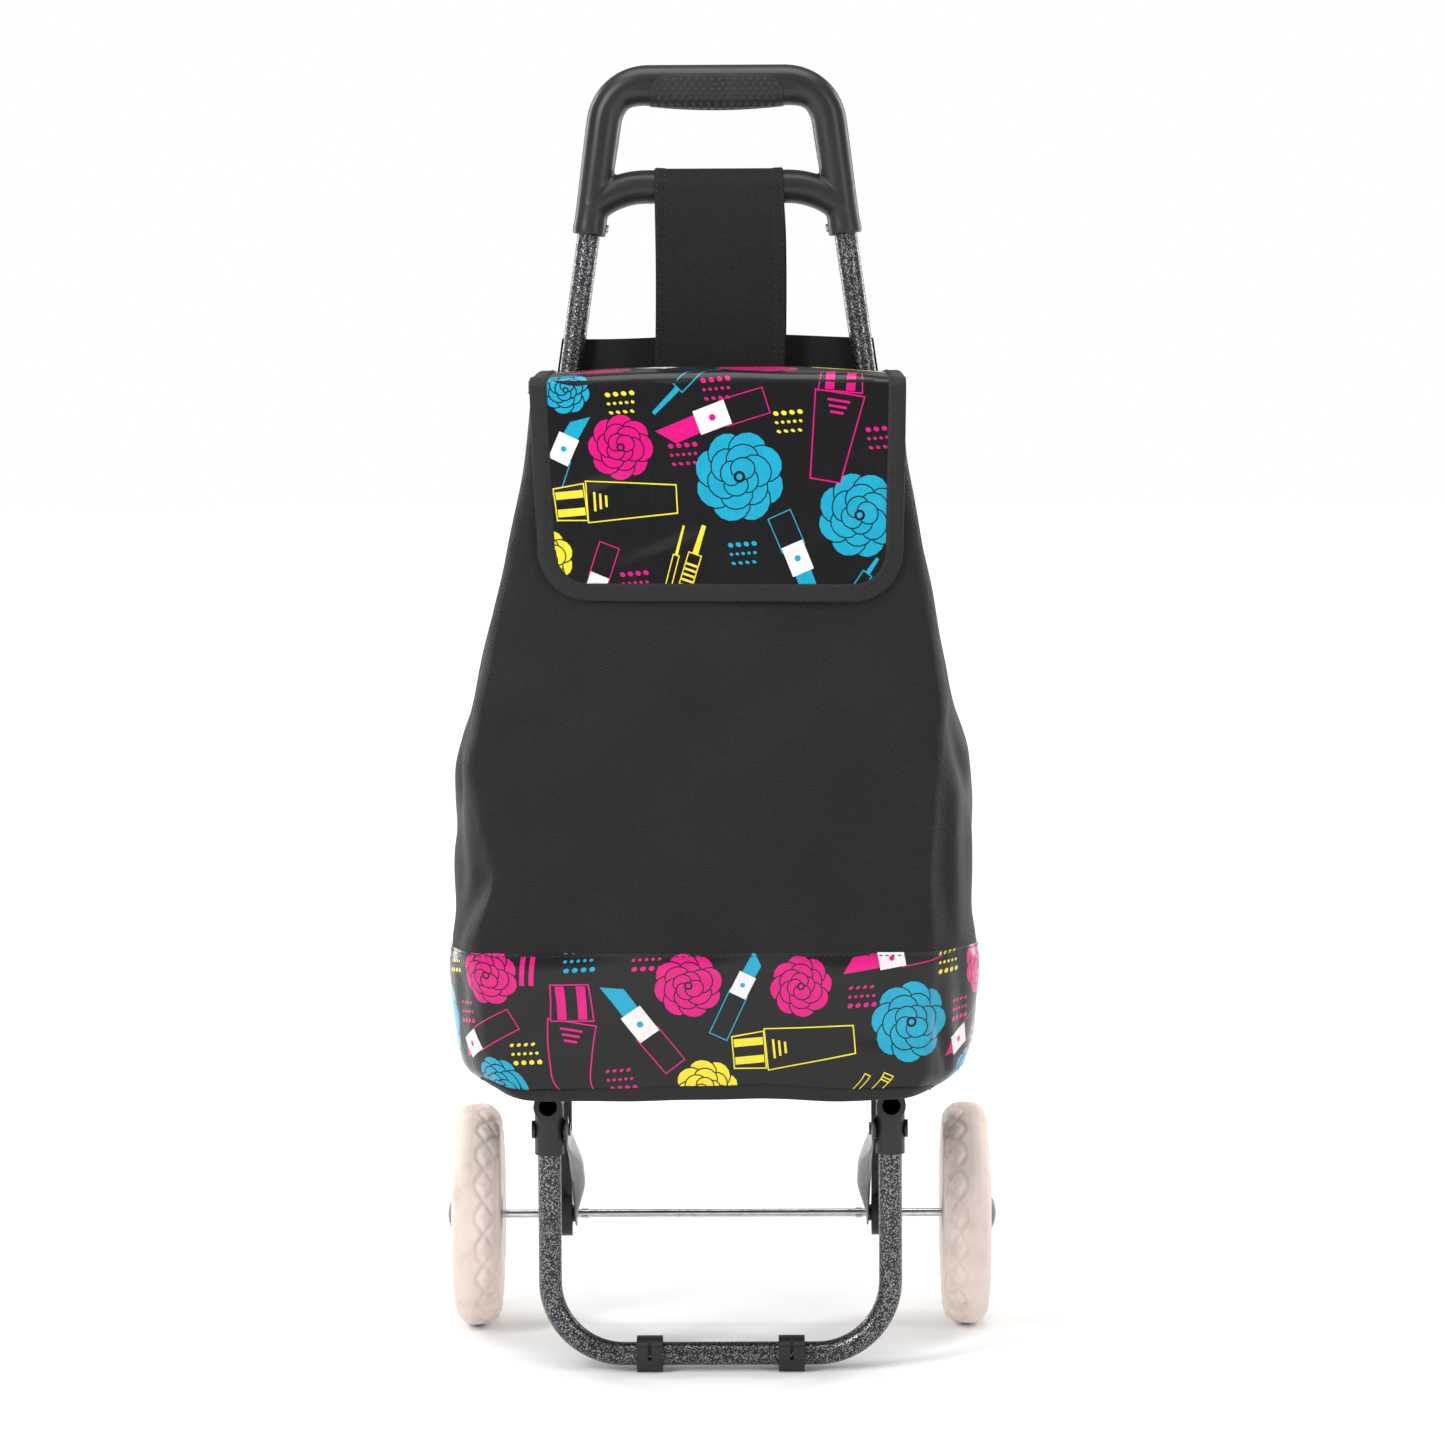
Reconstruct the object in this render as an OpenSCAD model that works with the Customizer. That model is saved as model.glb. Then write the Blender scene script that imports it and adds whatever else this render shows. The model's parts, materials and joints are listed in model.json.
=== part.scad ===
// Two-wheeled shopping trolley: steel tube frame, moulded handle, foam wheels and a sewn bag.
// Origin: on the floor, at the middle of the whole trolley's outline. +X right, +Z up, the bag's
// front faces -Y and the wheels stand at the back. Millimetres.

/* [Frame] */
// Height of the top of the handle above the floor
total_h = 904; // [890:1:930]
// Diameter of every steel tube of the frame
tube_d = 16; // [15:0.5:17]
// Wall thickness of the steel tubes
tube_wall = 1.2; // [0.8:0.1:1.5]
// Half the distance between the two upright tubes at the axle
upright_x = 118; // [114:1:122]
// Lean of the upper part of each upright towards the middle, in degrees
splay = 8.1; // [7:0.1:9]
// Height at which the uprights start to lean in
splay_z = 596; // [580:1:610]
// Distance from the axle forward to the leg
leg_reach = 160; // [140:1:168]
// Height of the two base tubes that carry the bag
base_z = 186; // [180:1:186]
// Radius of the leg's two lower bends, at the tube's middle
leg_bend_r = 51; // [45:1:60]

/* [Handle] */
// Diameter of the handle's moulded loop
handle_d = 23; // [22:0.5:25]
// Diameter of the handle's cross bar
cross_d = 24; // [23:0.5:26]
// Height of the middle of the cross bar
cross_z = 818; // [812:1:826]
// Height of the open ends of the handle's two sockets
socket_z = 784; // [776:1:790]
// How far each upright reaches into its socket
socket_depth = 20; // [16:1:24]
// Width of the grip's textured pad
pad_w = 96; // [80:1:100]

/* [Wheels] */
// Diameter of the foam tyre
wheel_d = 160; // [150:1:170]
// Width of the foam tyre
wheel_w = 33; // [28:1:36]
// Distance between the middle planes of the two wheels
track = 351; // [346:1:356]
// Diameter of the steel axle
axle_d = 6; // [5:0.5:8]
// Diameter of the domed hub caps
cap_d = 31; // [28:1:36]

/* [Bag] */
// Height of the underside of the bag
bag_z = 196.5; // [196.5:0.5:202]
// Widest part of the bag
bag_w = 352; // [340:1:356]
// Width of the bag's mouth
mouth_w = 256; // [240:1:270]
// Depth of the bag, front to back
bag_depth = 186; // [176:1:190]
// Depth of the bag's mouth
mouth_depth = 162; // [150:1:170]
// Height at which the bag starts to taper towards its mouth
shoulder_z = 440; // [410:1:460]
// Height of the seam between the printed band and the plain cloth
seam_z = 296; // [280:1:310]
// Height of the bag's rim
mouth_z = 684; // [680:1:686]
// Thickness of the sewn cloth
cloth = 1.6; // [1.4:0.1:2]

/* [Flap] */
// Width of the flap
flap_w = 254; // [240:1:262]
// Height of the flap's lower edge
flap_low_z = 535; // [500:1:560]
// Radius of the flap's lower corners
flap_r = 33; // [20:1:45]
// Width of the cloth binding round the flap
binding_w = 11.5; // [8:0.5:14]
// Width of the hanging strap over the cross bar
strap_w = 92; // [80:1:96]

/* [Hidden] */
$fn = 48;

gap = 0.3;                                  // clear space between neighbours that don't touch
wheel_r = wheel_d / 2;
tube_r = tube_d / 2;
joint_d = 20;                               // outside of the plastic joints
joint_r = joint_d / 2;
leg_x = upright_x - 0.5;
foot_d = 25;                                // outside of the foot clips, before their flat soles
foot_z = foot_d / 2 - 0.5;                  // middle of the leg's bottom tube
back_gap = joint_r + gap;                   // from the axle plane to the bag's back
front_reach = back_gap + bag_depth;         // from the axle plane to the bag's front
axle_y = (front_reach - wheel_r) / 2;       // puts the origin at the middle of the outline

bend_r = 150;                               // gentle bend of the uprights
bend_t = bend_r * tan(splay / 2);
rivet_z = base_z - 17;                      // pin through front joint, leg and brace
joint_low_z = base_z - 34;                  // lower mouth of the front joints
joint_bury = base_z - 12;                   // top end of the leg inside its joint
rear_top_z = base_z + 30;                   // upper mouth of the rear joints
rear_seat_z = base_z - 8;                   // lower end of the uprights
lug_r = 16;                                 // rounded foot of the rear joint, round the axle
rivet_d = 5;
spacer_t = 2;
brace_d = 10;
brace_x = upright_x - joint_r - spacer_t;   // outer face of the braces' flattened ends
tab_t = 2;
axle_half = track / 2 + 13.5;               // half the axle's length
hub_bore_d = axle_d + 0.1;
flange_d = 48;
flange_t = 2;
barrel_d = 26;
cap_h = 6;

flap_t = 1.8;
flap_z = mouth_z + 3.2;                     // middle of the flap's top leaf
flap_hinge_y = -back_gap - 6.5;
flap_fold_y = -back_gap - mouth_depth - 4;
flap_drop = flap_z - flap_low_z;
flap_tilt = atan((bag_depth_at(flap_low_z) - mouth_depth) / flap_drop);

// X of the middle of a leaning upright at height z
function lean_x(z) = upright_x - (z - splay_z) * tan(splay);

// Half width and depth of the bag at height z
function taper(z) = max(0, (z - shoulder_z) / (mouth_z - shoulder_z));
function bag_half_at(z) = bag_w / 2 - (bag_w - mouth_w) / 2 * taper(z);
function bag_depth_at(z) = bag_depth - (bag_depth - mouth_depth) * taper(z);

// ---------------------------------------------------------------- helpers

module at_axle() { translate([0, axle_y, 0]) children(); }

// Draws its child on one side: -1 is left and 1 is right
module side(s) { if (s < 0) mirror([1, 0, 0]) children(); else children(); }

module tube_section(d = tube_d) {
    difference() { circle(d = d); circle(d = tube_d - 2 * tube_wall); }
}

module across(d, w) { rotate([0, 90, 0]) cylinder(d = d, h = w, center = true); }

module along(d, l) { rotate([90, 0, 0]) cylinder(d = d, h = l); }

// A flat sheet or a closed band of cloth. Each level is [z, profile], and a profile is a list of
// [x, y, nx, ny]: a point on the outer face and the outward direction there.
module sheet(levels, thick, closed = false) {
    n = len(levels[0][1]);
    m = len(levels);
    points = [for (l = levels) for (s = [0, 1]) for (p = l[1])
        [p[0] - s * thick * p[2], p[1] - s * thick * p[3], l[0]]];
    function o(i, j) = j * 2 * n + i % n;
    function q(i, j) = j * 2 * n + n + i % n;
    last = closed ? n - 1 : n - 2;
    faces = [
        for (j = [0 : m - 2]) for (i = [0 : last]) each [
            [o(i, j), o(i, j + 1), o(i + 1, j + 1), o(i + 1, j)],
            [q(i, j), q(i + 1, j), q(i + 1, j + 1), q(i, j + 1)]],
        for (i = [0 : last]) each [
            [q(i, m - 1), q(i + 1, m - 1), o(i + 1, m - 1), o(i, m - 1)],
            [o(i, 0), o(i + 1, 0), q(i + 1, 0), q(i, 0)]],
        if (!closed) for (j = [0 : m - 2]) each [
            [q(0, j), q(0, j + 1), o(0, j + 1), o(0, j)],
            [o(n - 1, j), o(n - 1, j + 1), q(n - 1, j + 1), q(n - 1, j)]]];
    polyhedron(points, faces, convexity = 6);
}

function arc(x, y, r, a0, a1, k = 4) = [for (i = [0 : k]) let (a = a0 + (a1 - a0) * i / k)
    [x + r * cos(a), y + r * sin(a), cos(a), sin(a)]];

// ---------------------------------------------------------------- handle

bar_r = 12.5;                               // half the thickness of the top bar
bar_z = total_h - bar_r;
loop_r = 31.5;                              // bend of the loop's upper corners
loop_x = lean_x(bar_z - loop_r + loop_r * sin(splay)) - loop_r * cos(splay);
sag = 5.6;                                  // the grip's underside bulges down this far
belly_r = bar_r - 0.6;
belly_end_r = 6.6;
arm_r = 60;                                 // bend of the cross bar's arms
arm_x = 50;

module top_bar(grow = 0) {
    translate([0, 0, bar_z]) across(2 * (bar_r + grow), 2 * loop_x);
    translate([0, 0, bar_z - sag]) rotate([0, 90, 0]) rotate_extrude() polygon([
        [0, -54], [belly_end_r + grow, -54], [belly_r + grow, -20],
        [belly_r + grow, 20], [belly_end_r + grow, 54], [0, 54]]);
}

module handle_side() {
    lean_len = (bar_z - loop_r - socket_z) / cos(splay) + loop_r * tan(splay);
    translate([loop_x, 0, bar_z - loop_r]) rotate([90, 0, 0]) rotate([0, 0, splay])
        rotate_extrude(angle = 90 - splay, $fn = 64) translate([loop_r, 0]) circle(r = bar_r);
    translate([lean_x(socket_z), 0, socket_z]) rotate([0, -splay, 0])
        cylinder(d1 = handle_d, d2 = 2 * bar_r - 0.4, h = lean_len + 0.5);
}

// A hole or pin from the inner side of a socket towards the middle of its tube
module socket_screw(d, from, to) {
    z = socket_z + 6;
    translate([lean_x(z), 0, z]) rotate([0, -90 - splay, 0])
        translate([0, 0, from]) cylinder(d = d, h = to - from, $fn = 24);
}

module handle_shell() at_axle() color("#26272a") difference() {
    union() {
        top_bar();
        for (s = [-1, 1]) side(s) handle_side();
    }
    for (s = [-1, 1]) side(s) {
        translate([lean_x(socket_z - 4), 0, socket_z - 4]) rotate([0, -splay, 0])
            cylinder(d = tube_d, h = socket_depth + 4);
        socket_screw(3.2, 7, 16);
    }
}

// The cross bar's arms sweep down to the sockets
module cross_bar() at_axle() color("#26272a") difference() {
    union() {
        translate([0, 0, cross_z]) across(cross_d, 2 * arm_x);
        for (s = [-1, 1]) side(s)
            translate([arm_x, 0, cross_z - arm_r]) rotate([90, 0, 0]) rotate([0, 0, 50])
                rotate_extrude(angle = 40, $fn = 64) translate([arm_r, 0]) circle(d = cross_d);
    }
    for (s = [-1, 1]) side(s) translate([lean_x(socket_z - 4), 0, socket_z - 4])
        rotate([0, -splay, 0]) cylinder(d = handle_d, h = 70);
}

module pad_outline() {
    intersection() {
        translate([0, -5]) circle(r = pad_w / 2 + 2, $fn = 96);
        translate([-pad_w / 2, -12]) square([pad_w, 20]);
    }
}

module grip_pad() at_axle() color("#1d1e20") difference() {
    intersection() {
        top_bar(0.6);
        translate([0, -2, bar_z]) rotate([90, 0, 0]) linear_extrude(20) pad_outline();
    }
    top_bar();
}

module handle_screws() at_axle() color("#8a8c90") for (s = [-1, 1]) side(s) {
    socket_screw(3, tube_r + 0.1, 11.6);
    socket_screw(6, 11.6, 13.2);
}

// ---------------------------------------------------------------- steel frame

module upright(s) at_axle() side(s) color("#55575b") {
    translate([upright_x, 0, rear_seat_z])
        linear_extrude(splay_z - bend_t - rear_seat_z) tube_section();
    translate([upright_x - bend_r, 0, splay_z - bend_t]) rotate([90, 0, 0])
        rotate_extrude(angle = splay, $fn = 96) translate([bend_r, 0]) tube_section();
    low = splay_z + bend_t * cos(splay);
    translate([lean_x(low), 0, low]) rotate([0, -splay, 0])
        linear_extrude((socket_z - low) / cos(splay) + socket_depth) tube_section();
}
module upright_left() upright(-1);
module upright_right() upright(1);

// Moulded joint that holds an upright, a base tube and the axle
module rear_joint(s) at_axle() side(s) color("#2b2c2f") difference() {
    union() {
        translate([upright_x, 0, wheel_r]) cylinder(d = joint_d, h = rear_top_z - wheel_r);
        translate([upright_x, 0, base_z]) along(joint_d, 38);
        translate([upright_x, 0, wheel_r]) across(2 * lug_r, joint_d);
        translate([upright_x - joint_r, -7, wheel_r]) cube([joint_d, 14, base_z - wheel_r]);
    }
    translate([upright_x, 0, rear_seat_z]) cylinder(d = tube_d, h = 60);
    translate([upright_x, -12, base_z]) along(tube_d, 40);
    translate([upright_x, 0, wheel_r]) across(axle_d, 40);
}
module rear_joint_left() rear_joint(-1);
module rear_joint_right() rear_joint(1);

module base_tube(s) at_axle() side(s) color("#55575b")
    translate([upright_x, -12, base_z]) rotate([90, 0, 0])
        linear_extrude(leg_reach - 8) tube_section();
module base_tube_left() base_tube(-1);
module base_tube_right() base_tube(1);

// Moulded joint at the top of the leg; the base tube shows through its round front window
module front_joint(s) at_axle() side(s) color("#2b2c2f") difference() {
    union() {
        translate([leg_x, -leg_reach, joint_low_z])
            cylinder(d = joint_d, h = base_z - joint_low_z);
        translate([upright_x, -leg_reach + 34, base_z]) along(joint_d, 34 + joint_r - 0.5);
    }
    translate([leg_x, -leg_reach, joint_low_z - 4])
        cylinder(d = tube_d, h = joint_bury - joint_low_z + 4);
    translate([upright_x, -leg_reach + 40, base_z]) along(tube_d, 44);
    translate([upright_x, -leg_reach, base_z]) along(12.6, 20);
    translate([leg_x, -leg_reach, rivet_z]) across(rivet_d, 40);
}
module front_joint_left() front_joint(-1);
module front_joint_right() front_joint(1);

// A disc or pin across the trolley at the front joint's rivet, from x0 to x1
module at_rivet(d, x0, x1) {
    translate([x0, -leg_reach, rivet_z]) rotate([0, 90, 0]) cylinder(d = d, h = x1 - x0);
}

module joint_rivets() at_axle() color("#232426") for (s = [-1, 1]) side(s) {
    at_rivet(rivet_d, brace_x - tab_t - 1.2, leg_x + joint_r);
    at_rivet(9, brace_x - tab_t - 1.2, brace_x - tab_t);
    at_rivet(12.4, leg_x + joint_r, leg_x + joint_r + 2);
}

// Thin spacers that hold the braces off the joints
module joint_spacers() at_axle() color("#1e1f21") for (s = [-1, 1]) side(s) difference() {
    at_rivet(14, brace_x, leg_x - joint_r);
    at_rivet(rivet_d, brace_x - 1, leg_x);
}

module leg_tube() at_axle() color("#55575b") difference() {
    translate([0, -leg_reach, 0]) {
        for (s = [-1, 1]) side(s) {
            translate([leg_x, 0, foot_z + leg_bend_r])
                linear_extrude(joint_bury - foot_z - leg_bend_r) tube_section();
            translate([leg_x - leg_bend_r, 0, foot_z + leg_bend_r]) rotate([90, 0, 0])
                rotate([0, 0, -90]) rotate_extrude(angle = 90, $fn = 64)
                    translate([leg_bend_r, 0]) tube_section();
        }
        translate([-leg_x + leg_bend_r, 0, foot_z]) rotate([0, 90, 0])
            linear_extrude(2 * (leg_x - leg_bend_r)) tube_section();
    }
    for (s = [-1, 1]) side(s) translate([leg_x, -leg_reach, rivet_z]) across(rivet_d, 40);
}

// Snap-on plastic foot: a split ring with a flat sole and a lip on its front
foot_w = 18;
foot_x = 49;
module foot_clip(s) at_axle() side(s) color("#232426")
    translate([foot_x, -leg_reach, foot_z]) difference() {
        union() {
            across(foot_d, foot_w);
            translate([-foot_w / 2, -foot_d / 2, -2]) cube([foot_w, 4, 9]);
        }
        across(tube_d, foot_w + 2);
        translate([-foot_w, -foot_d, -foot_d - foot_z]) cube([2 * foot_w, 2 * foot_d, foot_d]);
        translate([-1.2, -foot_d / 2 - 1, -2.5]) cube([2.4, 6, 13]);
    }
module foot_clip_left() foot_clip(-1);
module foot_clip_right() foot_clip(1);

// Diagonal stay: a round tube whose ends are flattened and drilled
brace_len = norm([leg_reach, rivet_z - wheel_r]);
brace_tilt = atan2(rivet_z - wheel_r, leg_reach);
module brace(s) at_axle() side(s) color("#5f6165")
    translate([brace_x, 0, wheel_r]) rotate([-brace_tilt, 0, 0]) difference() {
        union() {
            translate([-brace_d / 2, -40, 0]) along(brace_d, brace_len - 80);
            for (end = [0, 1]) translate([0, -end * brace_len, 0]) mirror([0, end, 0]) {
                hull() {
                    translate([-brace_d / 2, -40, 0]) along(brace_d + 0.3, 1, $fn = 32);
                    translate([0.2 - tab_t, -9, -6.5]) cube([tab_t - 0.4, 0.5, 13]);
                }
                translate([-tab_t / 2, 0, 0]) across(18, tab_t);
            }
        }
        for (end = [0, 1]) translate([0, -end * brace_len, 0]) across(end == 0 ? axle_d : rivet_d, 30);
    }
module brace_left() brace(-1);
module brace_right() brace(1);

// ---------------------------------------------------------------- axle and wheels

module axle() at_axle() color("#c9ccd1") translate([0, 0, wheel_r]) {
    across(axle_d, 2 * axle_half);
    for (s = [-1, 1]) side(s) translate([brace_x - tab_t - 5, 0, 0])
        for (turn = [0, 180]) rotate([turn + 30, 0, 0])
            translate([-2.5, 0, -0.9]) cube([5, axle_d / 2 + 1.6, 1.8]);
}

module axle_collars() at_axle() color("#1e1f21") for (s = [-1, 1]) side(s)
    for (x = [upright_x - joint_r - spacer_t / 2, upright_x + joint_r + spacer_t / 2])
        translate([x, 0, wheel_r]) difference() {
            across(12, spacer_t);
            across(axle_d, 2 * spacer_t);
        }

// Push-on clips at the axle's ends, under the hub caps
module axle_clips() at_axle() color("#9a9da2") for (s = [-1, 1]) side(s)
    translate([axle_half - 1.2, 0, wheel_r]) difference() {
        across(13, 1);
        across(axle_d, 3);
    }

// Foam ring with a rounded tread and a shallow recess round the hub's outer flange
module tyre(s) at_axle() side(s) color("#f1e4dc") translate([track / 2, 0, wheel_r])
    rotate([0, 90, 0]) rotate_extrude($fn = 96) difference() {
        intersection() {
            translate([0, -wheel_w / 2]) square([wheel_r, wheel_w]);
            union() {
                translate([0, -wheel_w / 2]) square([wheel_r - 14, wheel_w]);
                for (y = [-1, 1]) translate([wheel_r - 14, y * (wheel_w / 2 - 14)]) circle(r = 14);
                translate([0, -wheel_w / 2 + 14]) square([wheel_r, wheel_w - 28]);
            }
        }
        translate([-1, -wheel_w / 2 - 1]) square([1 + barrel_d / 2, wheel_w + 2]);
        translate([-1, wheel_w / 2 - flange_t]) square([1 + flange_d / 2, flange_t + 1]);
    }
module tyre_left() tyre(-1);
module tyre_right() tyre(1);

// Plastic hub: a barrel with a flange at its outer face
module hub(s) at_axle() side(s) color("#2a2b2e") translate([track / 2, 0, wheel_r]) difference() {
    union() {
        across(barrel_d, wheel_w - 1);
        translate([wheel_w / 2 - flange_t / 2, 0, 0]) across(flange_d, flange_t);
    }
    across(hub_bore_d, 2 * wheel_w);
    translate([wheel_w / 2 - 5, 0, 0]) rotate([0, 90, 0]) cylinder(d = 16, h = 10);
}
module hub_left() hub(-1);
module hub_right() hub(1);

// Shallow dome, hollow so that it clears the axle's end
module hub_cap(s) at_axle() side(s) color("#3c3d40")
    translate([track / 2 + wheel_w / 2, 0, wheel_r]) rotate([0, 90, 0])
        rotate_extrude($fn = 64) difference() {
            dome(cap_d / 2, cap_h);
            dome(cap_d / 2 - 3, cap_h - 1.5);
        }
module hub_cap_left() hub_cap(-1);
module hub_cap_right() hub_cap(1);

// Half section of a spherical cap of radius r and height h, standing on the X axis
module dome(r, h) {
    ball = (r * r + h * h) / (2 * h);
    intersection() {
        translate([0, h - ball]) circle(r = ball, $fn = 128);
        square([r + 1, h + 1]);
    }
}

// ---------------------------------------------------------------- bag

// Rounding of the bag's lower edges: how far the walls are drawn in at height z
hem_r = 27;
function drawn_in(z, r) = z >= bag_z + r ? 0 : r - sqrt(r * r - pow(bag_z + r - z, 2));

// One side of the bag's outline at height z, as the outward direction turns from a0 to a0 + 90
front_r = 24;
back_r = 14;
function corner(z, quarter, a0, a1) = let (
        w = bag_half_at(z) - drawn_in(z, hem_r),
        d = drawn_in(z, hem_r / 2),
        low = -back_gap - bag_depth_at(z) + d,
        high = -back_gap - d)
    quarter == 0 ? arc(w - back_r, high - back_r, back_r, a0, a1) :
    quarter == 1 ? arc(-w + back_r, high - back_r, back_r, a0, a1) :
    quarter == 2 ? arc(-w + front_r, low + front_r, front_r, a0, a1) :
    arc(w - front_r, low + front_r, front_r, a0, a1);
function wall(z, turn) = concat(corner(z, turn, 90 * turn + 45, 90 * turn + 90),
    corner(z, (turn + 1) % 4, 90 * turn + 90, 90 * turn + 135));

hem_z = mouth_z - 10;
lower_step = (shoulder_z - seam_z) / 3;
upper_step = (hem_z - shoulder_z) / 5;
upper_levels = [for (i = [0 : 2]) seam_z + i * lower_step, for (i = [0 : 5]) shoulder_z + i * upper_step];

module plain_panel(turn) at_axle() color("#2c2d30")
    sheet([for (z = upper_levels) [z, wall(z, turn)]], cloth);
module bag_back_panel() plain_panel(0);
module bag_side_left() plain_panel(1);
module bag_front_panel() plain_panel(2);
module bag_side_right() plain_panel(3);

function ring(z) = [for (q = [0 : 3]) each corner(z, q, 90 * q, 90 * q + 90)];

band_levels = concat([for (a = [20 : 14 : 76]) bag_z + hem_r * (1 - cos(a))],
    [bag_z + hem_r, (bag_z + hem_r + seam_z) / 2, seam_z]);
module bag_band() at_axle() color("#17171a")
    sheet([for (z = band_levels) [z, ring(z)]], cloth, closed = true);

module bag_bottom() at_axle() color("#17171a") {
    rim = ring(band_levels[0]);
    translate([0, 0, bag_z]) linear_extrude(band_levels[0] - bag_z)
        polygon([for (p = rim) [p[0] - cloth * p[2], p[1] - cloth * p[3]]]);
}

// Stiff board that lies on the bag's bottom
module base_board() at_axle() color("#8b7355")
    translate([0, -back_gap - bag_depth / 2, band_levels[0] + 0.2]) linear_extrude(3)
        square([2 * (bag_half_at(bag_z) - hem_r - 4), bag_depth - 36], center = true);

module mouth_hem() at_axle() color("#232427")
    sheet([for (z = [hem_z, mouth_z]) [z, ring(z)]], cloth + 1, closed = true);

// Cloth sleeve that holds the bag on the uprights and is open at both ends
sleeve_y = tube_r + 0.8;
function sleeve_profile(z) = let (
        r = 8,
        w = min(lean_x(z), upright_x) + tube_r + 2.4)
    concat([[w, -back_gap + 0.1, 1, 0]], arc(w - r, sleeve_y - r + cloth, r, 0, 90),
        arc(-w + r, sleeve_y - r + cloth, r, 90, 180), [[-w, -back_gap + 0.1, -1, 0]]);
sleeve_levels = [330, 420, 520, 596, 650, 712];
module back_sleeve() at_axle() color("#2c2d30")
    sheet([for (z = sleeve_levels) [z, sleeve_profile(z)]], cloth);

// Loop of cloth that hangs the bag from the cross bar
strap_in = cross_d / 2 + 0.2;
strap_out = strap_in + cloth;
strap_low = mouth_z - 24;
strap_join = mouth_z + 4;                       // the loop's two leaves are sewn together here
strap_hold = back_gap + cloth + 1.2;            // just inside the mouth's hem
module hanging_strap() at_axle() color("#2c2d30")
    rotate([90, 0, 90]) linear_extrude(strap_w, center = true) {
        difference() {
            translate([0, cross_z]) circle(r = strap_out);
            translate([0, cross_z]) circle(r = strap_in);
            translate([-20, cross_z - 40.5]) square(40);
        }
        polygon([[-strap_out, cross_z], [-strap_in, cross_z], [-strap_hold, strap_join],
            [-strap_hold, strap_low], [-strap_hold - cloth, strap_low],
            [-strap_hold - cloth, strap_join]]);
        polygon([[strap_in, cross_z], [strap_out, cross_z], [0.4 - strap_hold, strap_join],
            [-strap_hold - cloth / 2, strap_join]]);
    }

// ---------------------------------------------------------------- flap

module at_hinge() { at_axle() translate([0, 0, flap_z]) children(); }

module flap_sides(inset) {
    translate([-flap_w / 2 + inset, flap_fold_y + 2])
        square([flap_w - 2 * inset, flap_hinge_y - flap_fold_y - 2]);
}

module flap_top_panel() at_hinge() color("#17171a")
    translate([0, 0, -flap_t / 2]) linear_extrude(flap_t) flap_sides(binding_w);

module flap_top_binding() at_hinge() color("#1b1c1f")
    translate([0, 0, -flap_t / 2 - 0.4]) linear_extrude(flap_t + 0.8) difference() {
        flap_sides(0);
        translate([-flap_w / 2 + binding_w, flap_fold_y - 20])
            square([flap_w - 2 * binding_w, 300]);
    }

// Outline of the hanging leaf, in its own plane, from the fold down
module leaf(inset) {
    w = flap_w / 2 - inset;
    r = max(flap_r - inset, 1);
    low = -flap_drop + inset;
    translate([-w, low + r]) square([2 * w, -low - r - 2]);
    translate([-w + r, low]) square([2 * (w - r), r + 1]);
    for (s = [-1, 1]) translate([s * (w - r), low + r]) circle(r = r, $fn = 64);
}

module at_fold() {
    at_hinge() translate([0, flap_fold_y, 0]) rotate([90 - flap_tilt, 0, 0]) children();
}

module flap_front_panel() at_fold() color("#17171a")
    linear_extrude(flap_t) leaf(binding_w);

module flap_front_binding() at_fold() color("#1b1c1f")
    translate([0, 0, -0.4]) linear_extrude(flap_t + 0.8) difference() {
        leaf(0);
        leaf(binding_w);
        translate([-flap_w / 2 + binding_w, -20]) square([flap_w - 2 * binding_w, 40]);
    }

module flap_hook_patch() at_fold() color("#101012")
    translate([-40, -flap_drop + 22, -1.2]) linear_extrude(1.2) square([80, 20]);

module bag_loop_patch() at_axle() color("#101012") {
    z = flap_low_z + 34;
    lean = atan((bag_depth - mouth_depth) / (mouth_z - shoulder_z));
    translate([0, -back_gap - bag_depth_at(z), z]) rotate([90 - lean, 0, 0])
        translate([-40, -10, 0]) linear_extrude(1.2) square([80, 20]);
}

handle_shell();
cross_bar();
grip_pad();
handle_screws();
upright_left();
upright_right();
rear_joint_left();
rear_joint_right();
base_tube_left();
base_tube_right();
front_joint_left();
front_joint_right();
joint_rivets();
joint_spacers();
leg_tube();
foot_clip_left();
foot_clip_right();
brace_left();
brace_right();
axle();
axle_collars();
axle_clips();
tyre_left();
tyre_right();
hub_left();
hub_right();
hub_cap_left();
hub_cap_right();
bag_front_panel();
bag_back_panel();
bag_side_left();
bag_side_right();
bag_band();
bag_bottom();
base_board();
mouth_hem();
back_sleeve();
hanging_strap();
bag_loop_patch();
flap_top_panel();
flap_top_binding();
flap_front_panel();
flap_front_binding();
flap_hook_patch();
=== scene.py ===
"""Looks of the two-wheeled shopping trolley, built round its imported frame.

Lengths in the functions below are millimetres, measured from the axle's vertical plane (y = 0)
and the floor (z = 0); put() turns them into metres in the frame's own axes.
"""
import json
import math

import bpy
import numpy as np
from mathutils import Matrix, Vector
from mathutils.geometry import delaunay_2d_cdt


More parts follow.
